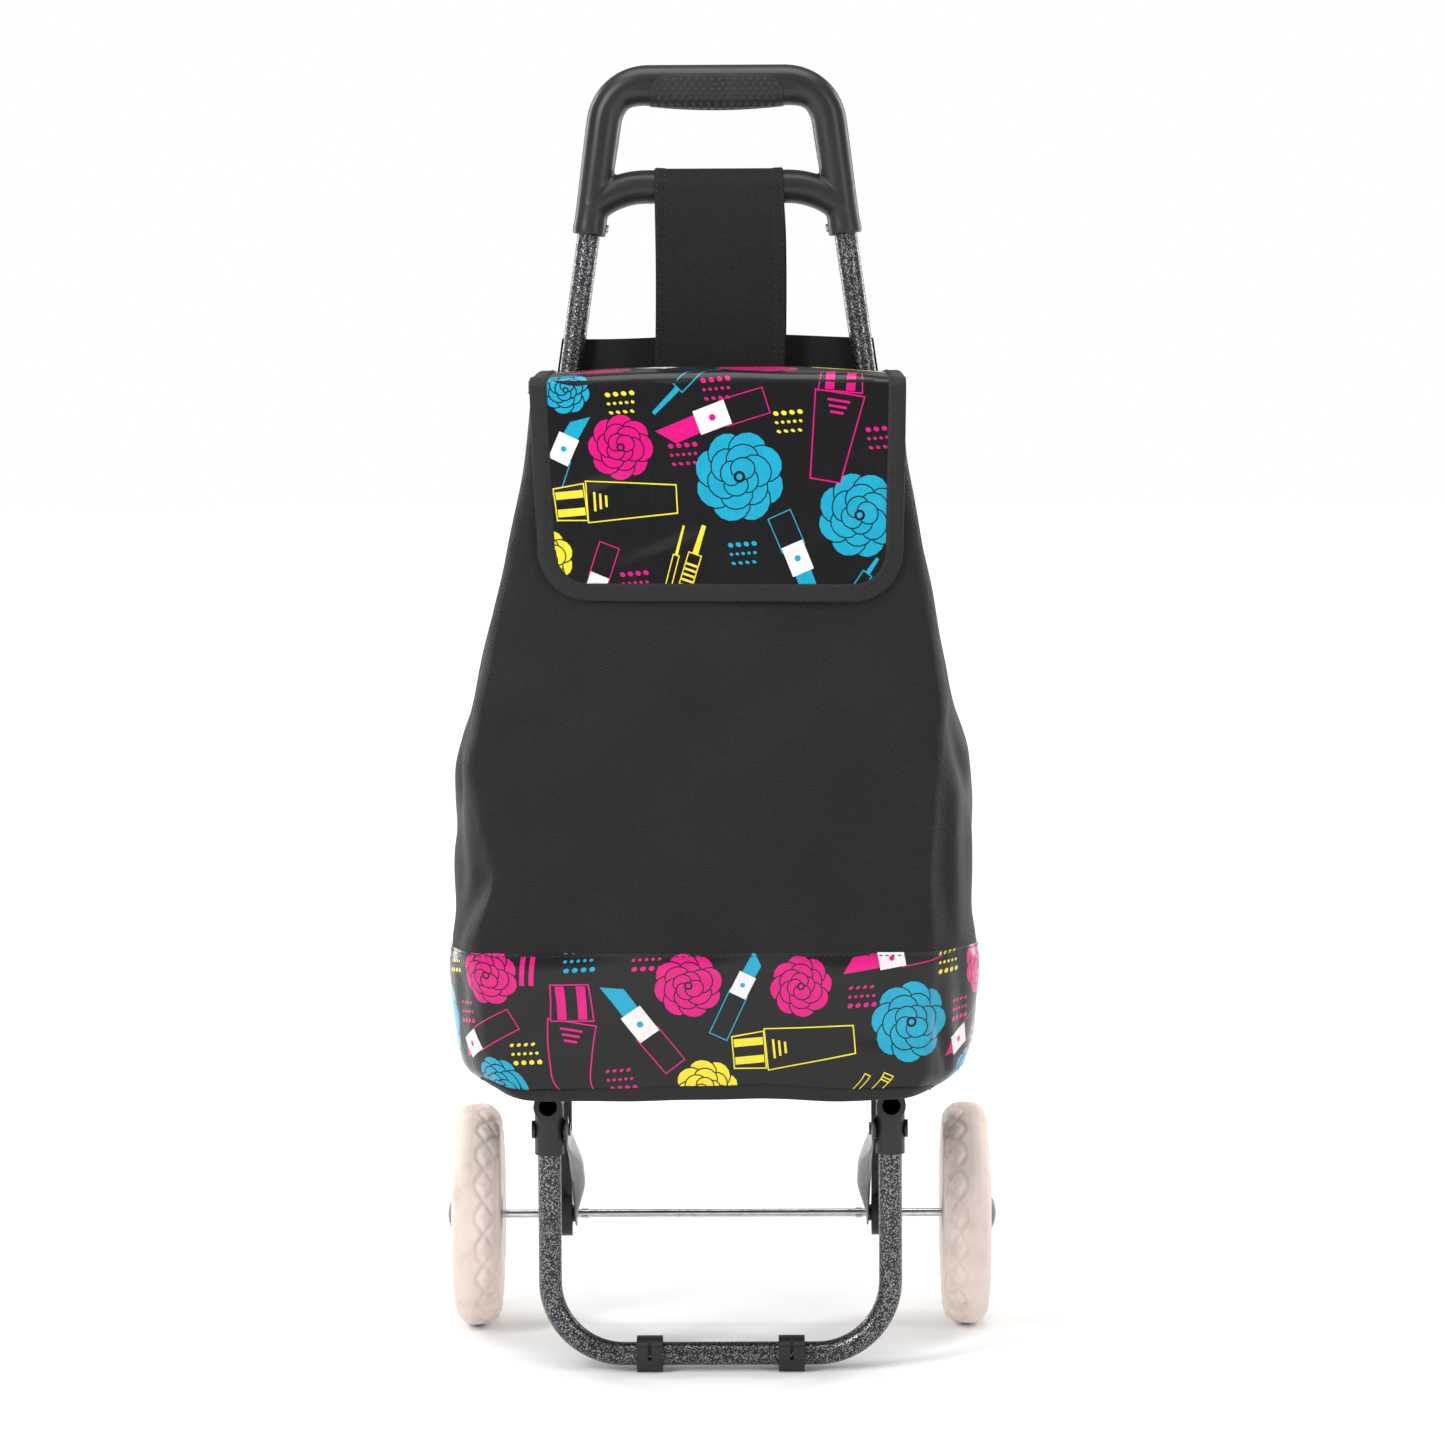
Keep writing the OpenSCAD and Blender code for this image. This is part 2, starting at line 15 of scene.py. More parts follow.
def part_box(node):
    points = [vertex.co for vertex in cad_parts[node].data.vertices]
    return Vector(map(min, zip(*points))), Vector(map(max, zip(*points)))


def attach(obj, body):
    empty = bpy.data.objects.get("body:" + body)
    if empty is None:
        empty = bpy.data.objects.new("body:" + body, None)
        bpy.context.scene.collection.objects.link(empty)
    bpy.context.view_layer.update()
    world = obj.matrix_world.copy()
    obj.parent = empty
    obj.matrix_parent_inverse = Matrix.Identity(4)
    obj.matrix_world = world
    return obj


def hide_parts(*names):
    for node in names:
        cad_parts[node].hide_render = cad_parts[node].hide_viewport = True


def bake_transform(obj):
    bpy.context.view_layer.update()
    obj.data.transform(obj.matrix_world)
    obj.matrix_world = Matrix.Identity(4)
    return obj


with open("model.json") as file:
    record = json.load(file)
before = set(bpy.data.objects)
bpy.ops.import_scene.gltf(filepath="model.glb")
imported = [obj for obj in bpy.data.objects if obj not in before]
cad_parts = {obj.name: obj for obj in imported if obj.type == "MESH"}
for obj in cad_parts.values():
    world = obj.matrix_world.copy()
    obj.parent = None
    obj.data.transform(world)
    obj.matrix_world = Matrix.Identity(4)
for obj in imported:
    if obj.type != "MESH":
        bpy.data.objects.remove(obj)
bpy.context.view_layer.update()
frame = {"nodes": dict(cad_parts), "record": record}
nodes = frame["nodes"]
MM = 0.001
axle_lo, axle_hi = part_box("axle")
AXLE_Y = (axle_lo.y + axle_hi.y) / 2 / MM
scene = bpy.context.scene


# ------------------------------------------------------------------ camera, floor and light

def aim_camera():
    """The photograph was taken from 3.5 m in front of the axle, a little above the bag."""
    pitch, yaw, roll = (math.radians(a) for a in (4.996, -0.409, -0.28))
    ahead = Vector((math.sin(yaw) * math.cos(pitch), math.cos(yaw) * math.cos(pitch),
                    -math.sin(pitch)))
    right = Vector((math.cos(yaw), -math.sin(yaw), 0))
    up = right.cross(ahead)
    right, up = (math.cos(roll) * right + math.sin(roll) * up,
                 math.cos(roll) * up - math.sin(roll) * right)
    cam = bpy.data.objects.new("camera", bpy.data.cameras.new("camera"))
    scene.collection.objects.link(cam)
    turn = Matrix((right, up, -ahead)).transposed().to_4x4()
    place = Vector((27.1, AXLE_Y - 3500, 742)) * MM
    cam.matrix_world = Matrix.Translation(place) @ turn
    cam.data.sensor_width = 36
    cam.data.lens = 122.1
    cam.data.clip_end = 60
    scene.camera = cam


def area_light(name, at, to, size, watts):
    """A rectangular lamp that stands at one point and faces another, in metres."""
    data = bpy.data.lights.new(name, "AREA")
    data.shape = "RECTANGLE"
    data.size, data.size_y = size
    data.energy = watts
    lamp = bpy.data.objects.new(name, data)
    scene.collection.objects.link(lamp)
    lamp.location = at
    lamp.rotation_mode = "QUATERNION"
    lamp.rotation_quaternion = (Vector(to) - Vector(at)).to_track_quat("-Z", "Y")


def light_studio():
    """Pale room, five lamps and a paper floor that glows white towards the horizon."""
    world = bpy.data.worlds.new("studio")
    scene.world = world
    world.use_nodes = True
    tree = world.node_tree
    sky = tree.nodes["Background"]
    sky.inputs["Color"].default_value = (1, 1, 1, 1)
    seen = tree.nodes.new("ShaderNodeLightPath")
    level = tree.nodes.new("ShaderNodeMapRange")
    level.inputs["To Min"].default_value = 0.34
    level.inputs["To Max"].default_value = 1.0
    tree.links.new(seen.outputs["Is Camera Ray"], level.inputs["Value"])
    tree.links.new(level.outputs["Result"], sky.inputs["Strength"])
    scene.view_settings.view_transform = "Standard"
    for name, at, to, size, watts in (
            ("key", (-1.7, -2.0, 1.9), (0, 0, 0.5), (0.6, 1.8), 50),
            ("fill", (1.9, -2.0, 1.3), (0, 0, 0.45), (0.45, 1.8), 17),
            ("top", (0, -0.2, 2.7), (0, 0, 0.3), (2.2, 1.4), 40),
            ("rim_left", (-1.7, 1.3, 1.1), (0, 0, 0.4), (0.5, 1.8), 26),
            ("rim_right", (1.7, 1.3, 1.1), (0, 0, 0.4), (0.5, 1.8), 26)):
        area_light(name, at, to, size, watts)
    mesh = bpy.data.meshes.new("floor")
    half = 14
    mesh.from_pydata([(-half, -half, 0), (half, -half, 0), (half, half, 0), (-half, half, 0)],
                     [], [(0, 1, 2, 3)])
    floor = bpy.data.objects.new("floor", mesh)
    scene.collection.objects.link(floor)
    paint = Paint("floor_paper")
    grain = paint.noise(paint.space(), 900, 2)
    paint.finish(paint.ramp(grain, (0.3, 0.94), (0.7, 0.97)), 0.9)
    away = paint.node("ShaderNodeVectorMath", operation="LENGTH")
    paint.link(paint.space(), away.inputs[0])
    glow = paint.node("ShaderNodeMapRange", interpolation_type="SMOOTHSTEP")
    for socket, value in (("From Min", 500.0), ("From Max", 2400.0), ("To Max", 0.8)):
        glow.inputs[socket].default_value = value
    paint.link(away.outputs["Value"], glow.inputs["Value"])
    paint.shader.inputs["Emission Color"].default_value = (1, 1, 1, 1)
    paint.link(glow.outputs["Result"], paint.shader.inputs["Emission Strength"])
    mesh.materials.append(paint.material)


# ------------------------------------------------------------------ materials

class Paint:
    """A node material that is put together from small parts."""

    def __init__(self, name):
        self.material = bpy.data.materials.new(name)
        self.material.use_nodes = True
        self.tree = self.material.node_tree
        self.shader = self.tree.nodes["Principled BSDF"]
        self.height = None

    def node(self, kind, **settings):
        made = self.tree.nodes.new(kind)
        for key, value in settings.items():
            if key in made.inputs:
                made.inputs[key].default_value = value
            else:
                setattr(made, key, value)
        return made

    def link(self, a, b):
        self.tree.links.new(a, b)
        return b

    def space(self, kind="Object", scale=(1, 1, 1)):
        """Coordinates in millimetres: the object's own, or the UV map's."""
        source = self.node("ShaderNodeTexCoord")
        size = [s * (1000 if kind == "Object" else 1) for s in scale]
        mapped = self.node("ShaderNodeMapping")
        mapped.inputs["Scale"].default_value = size
        self.link(source.outputs[kind], mapped.inputs["Vector"])
        return mapped.outputs["Vector"]

    def noise(self, space, pitch, detail=3):
        made = self.node("ShaderNodeTexNoise", Scale=1 / pitch, Detail=detail)
        self.link(space, made.inputs["Vector"])
        return made.outputs["Fac"]

    def cells(self, space, pitch):
        made = self.node("ShaderNodeTexVoronoi", Scale=1 / pitch)
        self.link(space, made.inputs["Vector"])
        return made.outputs["Distance"]

    def math(self, how, a, b=0.5, c=0.5):
        made = self.node("ShaderNodeMath", operation=how)
        for socket, value in zip(made.inputs, (a, b, c)):
            if isinstance(value, (int, float)):
                socket.default_value = value
            else:
                self.link(value, socket)
        return made.outputs[0]

    def ramp(self, factor, *stops):
        """Colours or values against a factor; each stop is (place, value)."""
        made = self.node("ShaderNodeValToRGB")
        marks = made.color_ramp.elements
        while len(marks) < len(stops):
            marks.new(0.5)
        for mark, (place, value) in zip(marks, stops):
            mark.position = place
            colour = value if isinstance(value, tuple) else (value,) * 3
            mark.color = (*colour, 1)
        self.link(factor, made.inputs["Fac"])
        return made.outputs["Color"]

    def bump(self, height, depth, strength=1.0):
        """Relief, depth in millimetres for a height from 0 to 1; calls add up."""
        made = self.node("ShaderNodeBump", Strength=strength, Distance=depth * MM)
        self.link(height, made.inputs["Height"])
        if self.height is not None:
            self.link(self.height, made.inputs["Normal"])
        self.height = made.outputs["Normal"]

    def finish(self, color=None, rough=None, **shader):
        for value, socket in ((color, "Base Color"), (rough, "Roughness")):
            if value is None:
                continue
            if isinstance(value, tuple):
                self.shader.inputs[socket].default_value = (*value, 1)
            elif isinstance(value, (int, float)):
                self.shader.inputs[socket].default_value = value
            else:
                self.link(value, self.shader.inputs[socket])
        for key, value in shader.items():
            name = key.replace("_", " ")
            self.shader.inputs[name].default_value = value
        if self.height is not None:
            self.link(self.height, self.shader.inputs["Normal"])
        return self.material


def moulded(name, tone, shine, grain=0.9, depth=0.05, coat=0.0):
    """Injection-moulded plastic with a fine grain and faint flow marks."""
    p = Paint(name)
    space = p.space()
    fine = p.noise(space, grain, 4)
    flow = p.noise(p.space(scale=(1, 1, 0.25)), 26, 2)
    mixed = p.math("ADD", p.math("MULTIPLY", fine, 0.35), p.math("MULTIPLY", flow, 0.65))
    dark = tuple(c * 0.72 for c in tone)
    pale = tuple(c * 1.4 for c in tone)
    color = p.ramp(mixed, (0.3, dark), (0.7, pale))
    rough = p.ramp(mixed, (0.25, shine - 0.07), (0.75, shine + 0.09))
    p.bump(fine, depth)
    return p.finish(color, rough, Specular_IOR_Level=0.4, Coat_Weight=coat, Coat_Roughness=0.2)


def hammertone(name, tone, spark, pitch=1.4):
    """Stove enamel that dries in small dimples, dark between them and silvery inside."""
    p = Paint(name)
    space = p.space()
    wobble = p.node("ShaderNodeTexNoise", Scale=0.7, Detail=2)
    p.link(space, wobble.inputs["Vector"])
    shift = p.node("ShaderNodeVectorMath", operation="MULTIPLY_ADD")
    p.link(wobble.outputs["Color"], shift.inputs[0])
    shift.inputs[1].default_value = (0.9, 0.9, 0.9)
    p.link(space, shift.inputs[2])
    cell = p.cells(shift.outputs[0], pitch)
    fleck = p.noise(space, 0.6, 2)
    flakes = p.math("MULTIPLY", p.ramp(cell, (0.15, 1.0), (0.55, 0.0)),
                    p.ramp(fleck, (0.4, 0.45), (0.62, 1.0)))
    color = p.ramp(flakes, (0.0, tone), (0.5, tuple((a + b) / 2 for a, b in zip(tone, spark))),
                   (1.0, spark))
    rough = p.ramp(flakes, (0.0, 0.4), (1.0, 0.22))
    p.bump(p.ramp(cell, (0.05, 0.0), (0.62, 1.0)), 0.12, 0.8)
    return p.finish(color, rough, Metallic=0.9, Coat_Weight=0.3, Coat_Roughness=0.15)


def weave(p, pitch, depth):
    """Over-and-under threads: returns the height, with its bump already added."""
    parts = p.node("ShaderNodeSeparateXYZ")
    p.link(p.space("UV"), parts.inputs[0])
    turns = 2 * math.pi / pitch
    across = p.math("SINE", p.math("MULTIPLY", parts.outputs[0], turns))
    along = p.math("SINE", p.math("MULTIPLY", parts.outputs[1], turns))
    height = p.math("MULTIPLY_ADD", p.math("MULTIPLY", across, along), 0.5, 0.5)
    p.bump(height, depth)
    return height


def oxford(name, tone=0.0115):
    """Black coated nylon, a small basket weave with a dry sheen."""
    p = Paint(name)
    height = weave(p, 2.3, 0.3)
    space = p.space("UV")
    slub = p.noise(p.space("UV", scale=(0.12, 1.6, 1)), 1.5, 3)
    cloud = p.noise(space, 55, 4)
    # The weave's height sets most of the colour: raised threads are painted lighter as a painted
    # highlight, the hollows between them darker as painted shade; slubs and clouds add random tone.
    mixed = p.math("MULTIPLY_ADD", height, 0.75, p.math("MULTIPLY", slub, 0.25))
    mixed = p.math("MULTIPLY_ADD", cloud, 0.2, p.math("MULTIPLY", mixed, 0.8))
    color = p.ramp(mixed, (0.25, (tone * 0.35, tone * 0.35, tone * 0.37)),
                   (0.8, (tone * 2.1, tone * 2.05, tone * 2.1)))
    rough = p.ramp(mixed, (0.2, 0.6), (0.8, 0.44))
    p.bump(p.noise(space, 9, 3), 0.25)
    return p.finish(color, rough, Specular_IOR_Level=0.14, Sheen_Weight=0.02, Sheen_Roughness=0.5)


def laminate(name, tone):
    """Printed cloth under a clear film: fine threads show through and catch the light."""
    p = Paint(name)
    space = p.space("UV")
    threads = p.noise(p.space("UV", scale=(2.2, 0.07, 1)), 1.0, 3)
    cloud = p.noise(space, 14, 3)
    color = p.ramp(p.math("MULTIPLY_ADD", cloud, 0.4, p.math("MULTIPLY", threads, 0.6)),
                   (0.25, tuple(c * 0.78 for c in tone)), (0.75, tuple(c * 1.12 for c in tone)))
    rough = p.ramp(threads, (0.3, 0.3), (0.7, 0.45))
    p.bump(threads, 0.07)
    p.bump(cloud, 0.8)
    return p.finish(color, rough, Specular_IOR_Level=0.16, Coat_Weight=0.35, Coat_Roughness=0.15)


def ribbed_tape(name, tone=0.008):
    """Woven edging tape with ribs across its length."""
    p = Paint(name)
    parts = p.node("ShaderNodeSeparateXYZ")
    p.link(p.space("UV"), parts.inputs[0])
    rib = p.math("SINE", p.math("MULTIPLY", parts.outputs[0], 2 * math.pi / 1.1))
    rib = p.math("MULTIPLY_ADD", rib, 0.5, 0.5)
    fuzz = p.noise(p.space("UV"), 0.7, 3)
    # Half the colour follows the rib height: crests are painted lighter as a painted highlight,
    # troughs darker as painted shade; the fuzz is random tone.
    mixed = p.math("MULTIPLY_ADD", fuzz, 0.5, p.math("MULTIPLY", rib, 0.5))
    color = p.ramp(mixed, (0.2, (tone * 0.5,) * 3), (0.8, (tone * 1.7,) * 3))
    p.bump(rib, 0.12)
    return p.finish(color, p.ramp(mixed, (0.2, 0.7), (0.8, 0.55)), Specular_IOR_Level=0.3,
                    Sheen_Weight=0.06)


def twisted_thread(name, tone=0.02):
    p = Paint(name)
    lay = p.node("ShaderNodeTexWave", Scale=2.2, Distortion=0.6)
    p.link(p.space(), lay.inputs["Vector"])
    # The colour follows the twist's height: ridges are painted lighter as a painted highlight,
    # grooves darker as painted shade.
    color = p.ramp(lay.outputs["Fac"], (0.2, (tone * 0.5,) * 3), (0.8, (tone * 1.6,) * 3))
    p.bump(lay.outputs["Fac"], 0.08)
    return p.finish(color, 0.55, Specular_IOR_Level=0.3, Sheen_Weight=0.1)


def foam(name):
    """Closed-cell foam: a matt skin with tiny pores, cream with a pink cast."""
    p = Paint(name)
    space = p.space()
    pores = p.cells(space, 0.9)
    cloud = p.noise(space, 18, 4)
    # A quarter of the colour follows the pores: the pore hollows are painted darker as painted
    # shade; the cloud is random tone.
    mixed = p.math("MULTIPLY_ADD", cloud, 0.75, p.math("MULTIPLY", pores, 0.25))
    color = p.ramp(mixed, (0.25, (0.62, 0.50, 0.44)), (0.5, (0.76, 0.64, 0.575)),
                   (0.8, (0.82, 0.72, 0.65)))
    p.bump(pores, 0.08)
    p.bump(p.noise(space, 3, 3), 0.12)
    return p.finish(color, p.ramp(cloud, (0.3, 0.55), (0.7, 0.72)),
                    Subsurface_Weight=0.15, Subsurface_Scale=0.004)


def plated(name, tone, shine=0.14):
    """Bright steel with drawing lines round the bar and faint stains."""
    p = Paint(name)
    lines = p.noise(p.space(scale=(0.05, 1, 1)), 0.35, 2)
    stain = p.noise(p.space(), 8, 3)
    color = p.ramp(stain, (0.3, tuple(c * 0.75 for c in tone)), (0.7, tone))
    rough = p.ramp(p.math("MULTIPLY_ADD", lines, 0.5, p.math("MULTIPLY", stain, 0.5)),
                   (0.3, shine), (0.7, shine + 0.16))
    p.bump(lines, 0.012)
    return p.finish(color, rough, Metallic=1.0)


def bristle(name):
    """Hook-and-loop tape."""
    p = Paint(name)
    tufts = p.cells(p.space(), 0.8)
    # Tuft tops are painted lighter as a painted highlight, and the gaps between tufts darker as
    # painted shade.
    color = p.ramp(tufts, (0.1, (0.03, 0.03, 0.03)), (0.6, (0.008, 0.008, 0.008)))
    p.bump(p.ramp(tufts, (0.1, 1.0), (0.6, 0.0)), 0.5)
    return p.finish(color, 0.8)


def greyboard(name):
    p = Paint(name)
    fibre = p.noise(p.space(scale=(0.3, 1, 1)), 2, 4)
    color = p.ramp(fibre, (0.3, (0.20, 0.16, 0.12)), (0.7, (0.33, 0.27, 0.20)))
    p.bump(fibre, 0.15)
    return p.finish(color, 0.85)


def lacquer(name, tone):
    """Glossy enamel over a slightly uneven flattened tube."""
    p = Paint(name)
    peel = p.noise(p.space(), 5, 3)
    color = p.ramp(peel, (0.3, tuple(c * 0.7 for c in tone)), (0.7, tuple(c * 1.25 for c in tone)))
    p.bump(peel, 0.25)
    return p.finish(color, p.ramp(peel, (0.3, 0.3), (0.7, 0.42)), Metallic=0.35,
                    Coat_Weight=0.4, Coat_Roughness=0.12)


INKS = {"ground": (0.004, 0.004, 0.005), "pink": (0.64, 0.001, 0.185), "blue": (0.006, 0.33, 0.50),
        "gold": (0.78, 0.65, 0.03), "white": (0.74, 0.72, 0.72)}
MATERIALS = {
    "handle_plastic": moulded("handle_plastic", (0.012, 0.012, 0.013), 0.36, 0.8, 0.03),
    "grip_pad": moulded("grip_pad", (0.010, 0.010, 0.011), 0.5, 0.6, 0.04),
    "zinc_steel": plated("zinc_steel", (0.62, 0.62, 0.64), 0.3),
    "black_steel": lacquer("black_steel", (0.012, 0.012, 0.014)),
    "hammertone": hammertone("hammertone", (0.03, 0.03, 0.034), (0.46, 0.46, 0.48)),
    "joint_plastic": moulded("joint_plastic", (0.011, 0.011, 0.013), 0.4, 1.2, 0.06),
    "foot_plastic": moulded("foot_plastic", (0.014, 0.014, 0.015), 0.38, 1.0, 0.05),
    "brace_paint": lacquer("brace_paint", (0.09, 0.092, 0.097)),
    "axle_chrome": plated("axle_chrome", (0.75, 0.76, 0.79), 0.1),
    "eva_foam": foam("eva_foam"),
    "hub_plastic": moulded("hub_plastic", (0.012, 0.012, 0.013), 0.4, 1.0, 0.05),
    "hub_cap": moulded("hub_cap", (0.045, 0.045, 0.048), 0.3, 1.4, 0.04, 0.3),
    "oxford_cloth": oxford("oxford_cloth"),
    "binding_tape": ribbed_tape("binding_tape"),
    "hook_and_loop": bristle("hook_and_loop"),
    "board": greyboard("board"),
    "thread": twisted_thread("thread"),
}
PRINT = {ink: laminate("print_" + ink, tone) for ink, tone in INKS.items()}


def dress_frame():
    """Gives each CAD node that stays its own material, by the slot the record names."""
    record = frame["record"]
    slots = {}
    for entry in record["subparts"]:
        for name in [entry["node"]] if "node" in entry else entry.get("nodes", []):
            slots[name] = entry.get("material_slot") or entry.get("slot")
    for name, o in nodes.items():
        slot = slots.get(name)
        o.data.polygons.foreach_set("use_smooth", [True] * len(o.data.polygons))
        o.data.set_sharp_from_angle(angle=math.radians(32))
        if slot in MATERIALS:
            o.data.materials.clear()
            o.data.materials.append(MATERIALS[slot])


# ------------------------------------------------------------------ mesh tools

def unit(v):
    """Vectors of length 1, along the last axis."""
    return v / np.maximum(np.linalg.norm(v, axis=-1, keepdims=True), 1e-9)


def node_box(name):
    """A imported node's low and high corner, in millimetres from the axle plane."""
    return [np.array(corner) / MM - (0, AXLE_Y, 0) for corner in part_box(name)]


def put(points):
    """Millimetres from the axle plane to metres in the frame."""
    moved = np.array(points, float).reshape(-1, 3) + (0, AXLE_Y, 0)
    return moved * MM


def build(name, points, faces, body, slot, materials=None, tones=None, uv=None, normals=None,
          stands_for=()):
    """A mesh piece. tones gives each face's place in materials; uv is in millimetres."""
    mesh = bpy.data.meshes.new(name)
    mesh.from_pydata(put(points).tolist(), [], [tuple(int(i) for i in f) for f in faces])
    for material in materials or [MATERIALS[slot]]:
        mesh.materials.append(material)
    if tones is not None:
        mesh.polygons.foreach_set("material_index", np.array(tones, np.int32))
    if uv is not None:
        loops = np.zeros(len(mesh.loops), np.int32)
        mesh.loops.foreach_get("vertex_index", loops)
        layer = mesh.uv_layers.new(name="cloth")
        layer.data.foreach_set("uv", np.array(uv, np.float32)[loops].ravel())
    mesh.polygons.foreach_set("use_smooth", [True] * len(mesh.polygons))
    if normals is not None:
        mesh.normals_split_custom_set_from_vertices(np.array(normals).tolist())
    mesh.update()
    piece = bpy.data.objects.new(name, mesh)
    scene.collection.objects.link(piece)
    if body:
        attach(piece, body)
    if stands_for:
        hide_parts(*stands_for)
    return piece


def grid_faces(rows, columns, wrap=False, flip=False):
    """Quads of a grid whose point (row, column) is number row * columns + column."""
    r = np.arange(rows - 1)[:, None]
    c = np.arange(columns if wrap else columns - 1)[None, :]
    n = (c + 1) % columns
    quads = np.stack([r * columns + c, r * columns + n, (r + 1) * columns + n,
                      (r + 1) * columns + c], -1).reshape(-1, 4)
    return quads[:, ::-1] if flip else quads


def hermite(a, b, m, n, t):
    """Between a and b with end slopes m and n, at t from 0 to 1."""
    return ((2 * t**3 - 3 * t**2 + 1) * a + (t**3 - 2 * t**2 + t) * m
            + (3 * t**2 - 2 * t**3) * b + (t**3 - t**2) * n)


def smooth_table(table, at):
    """A smooth curve through the rows (place, value) of a table, read at each place."""
    table = sorted(table)
    x = np.array([row[0] for row in table], float)
    y = np.array([row[1:] for row in table], float)
    slope = np.gradient(y, x, axis=0)
    at = np.clip(np.asarray(at, float), x[0], x[-1])
    k = np.clip(np.searchsorted(x, at) - 1, 0, len(x) - 2)
    h = (x[k + 1] - x[k])[..., None]
    t = ((at - x[k])[..., None]) / h
    out = hermite(y[k], y[k + 1], slope[k] * h, slope[k + 1] * h, t)
    return out[..., 0] if out.shape[-1] == 1 else out


def hump(x, centre, width):
    """A soft bell, 1 at its centre."""
    return np.exp(-(((x - centre) / width) ** 2))


def ease(x, start, end):
    t = np.clip((x - start) / (end - start), 0, 1)
    return t * t * (3 - 2 * t)


def surface_normals(surface, u, v, step=0.5):
    """Outward normals of a surface(u, v) -> points, by differences."""
    across = surface(u + step, v) - surface(u - step, v)
    along = surface(u, v + step) - surface(u, v - step)
    return unit(np.cross(across, along))


def end_caps(rows, columns):
    """Faces that close the two ends of a wrapped grid."""
    return [tuple(range(columns))[::-1], tuple(range((rows - 1) * columns, rows * columns))]


def sweep(points, radii, sides, up=(0, 1, 0)):
    """A round tube along points with closed ends; returns its points and faces."""
    points = np.array(points, float)
    radii = np.broadcast_to(np.asarray(radii, float), len(points))
    ahead = unit(np.gradient(points, axis=0))
    first = unit(np.cross(ahead, np.array(up, float)))
    second = np.cross(ahead, first)
    turn = np.arange(sides) * 2 * math.pi / sides
    rings = (points[:, None] + radii[:, None, None] * (np.cos(turn)[None, :, None] * first[:, None]
             + np.sin(turn)[None, :, None] * second[:, None]))
    faces = [tuple(f) for f in grid_faces(len(points), sides, wrap=True)]
    faces += end_caps(len(points), sides)
    return rings.reshape(-1, 3), faces


def merge(parts):
    """Joins several (points, faces) into one."""
    points, faces, base = [], [], 0
    for p, f in parts:
        points.append(np.array(p, float).reshape(-1, 3))
        faces += [tuple(int(i) + base for i in face) for face in f]
        base += len(points[-1])
    return np.concatenate(points), faces


def run_of_stitches(path, outward):
    """Short thread capsules along a path of points; outward lifts them off the cloth."""
    pitch, length, thick = 4.2, 3.0, 0.32
    path, outward = np.array(path, float), np.array(outward, float)
    step = np.linalg.norm(np.diff(path, axis=0), axis=1)
    reach = np.concatenate([[0], np.cumsum(step)])
    parts = []
    for start in np.arange(pitch / 2, reach[-1] - length, pitch):
        at = start + length * np.linspace(0, 1, 5)
        centre = np.stack([np.interp(at, reach, path[:, k]) for k in range(3)], 1)
        lift = np.stack([np.interp(at, reach, outward[:, k]) for k in range(3)], 1)
        centre = centre + lift * (thick * np.array([-0.9, 0.35, 0.6, 0.35, -0.9]))[:, None]
        parts.append(sweep(centre, thick * np.array([0.45, 1, 1.1, 1, 0.45]), 6,
                           up=lift[2] + (1e-4, 2e-4, 3e-4)))
    return merge(parts)


def stitch(name, rows, body, slot="binding_tape"):
    """A piece of thread: rows of stitches, each a path and its outward directions."""
    points, faces = merge([run_of_stitches(path, outward) for path, outward in rows])
    return build(name, points, faces, body, slot, [MATERIALS["thread"]])


# ------------------------------------------------------------------ artwork of the print

INK_ORDER = ["ground", "pink", "blue", "gold", "white"]
LINED_PRINT = [PRINT[ink] for ink in INK_ORDER] + [MATERIALS["oxford_cloth"]]


def oval(x, y, a, b, turn=0.0, n=14):
    t = np.arange(n) * 2 * math.pi / n
    c, s = math.cos(turn), math.sin(turn)
    px, py = a * np.cos(t), b * np.sin(t)
    return np.stack([x + px * c - py * s, y + px * s + py * c], 1)


def bar(start, end, w0, w1=None, w_off=0.0):
    """A strip from start to end, w0 wide there and w1 at its end."""
    start, end = np.array(start, float), np.array(end, float)
    w1 = w0 if w1 is None else w1
    ahead = unit(end - start)
    side = np.array([-ahead[1], ahead[0]])
    mid = side * w_off
    return np.array([start + mid - side * w0 / 2, end + mid - side * w1 / 2,
                     end + mid + side * w1 / 2, start + mid + side * w0 / 2])


def framed(start, end, w0, w1, ink, line=0.9):
    """An outlined strip, black inside."""
    start, end = np.array(start, float), np.array(end, float)
    ahead = unit(end - start)
    return [(ink, bar(start, end, w0, w1)),
            ("ground", bar(start + ahead * line, end - ahead * line, w0 - 2 * line,
                           w1 - 2 * line))]


def blossom(x, y, r, ink, turn=0.0, line=0.9):
    """A full round flower: three layers of overlapping petals round a small eye."""
    shapes = []
    for count, reach, a, b, phase in ((8, 0.60, 0.40, 0.36, 0.0), (6, 0.38, 0.34, 0.30, 0.4),
                                      (4, 0.19, 0.25, 0.22, 0.1)):
        for k in range(count):
            angle = turn + phase + 2 * math.pi * k / count
            px, py = x + r * reach * math.cos(angle), y + r * reach * math.sin(angle)
            lean = angle + 1.2
            shapes.append(("ground", oval(px, py, r * a + line, r * b + line, lean)))
            shapes.append((ink, oval(px, py, r * a, r * b, lean)))
    shapes.append(("ground", oval(x, y, r * 0.13, r * 0.13, n=10)))
    shapes.append((ink, oval(x, y, r * 0.07, r * 0.07, n=8)))
    return shapes


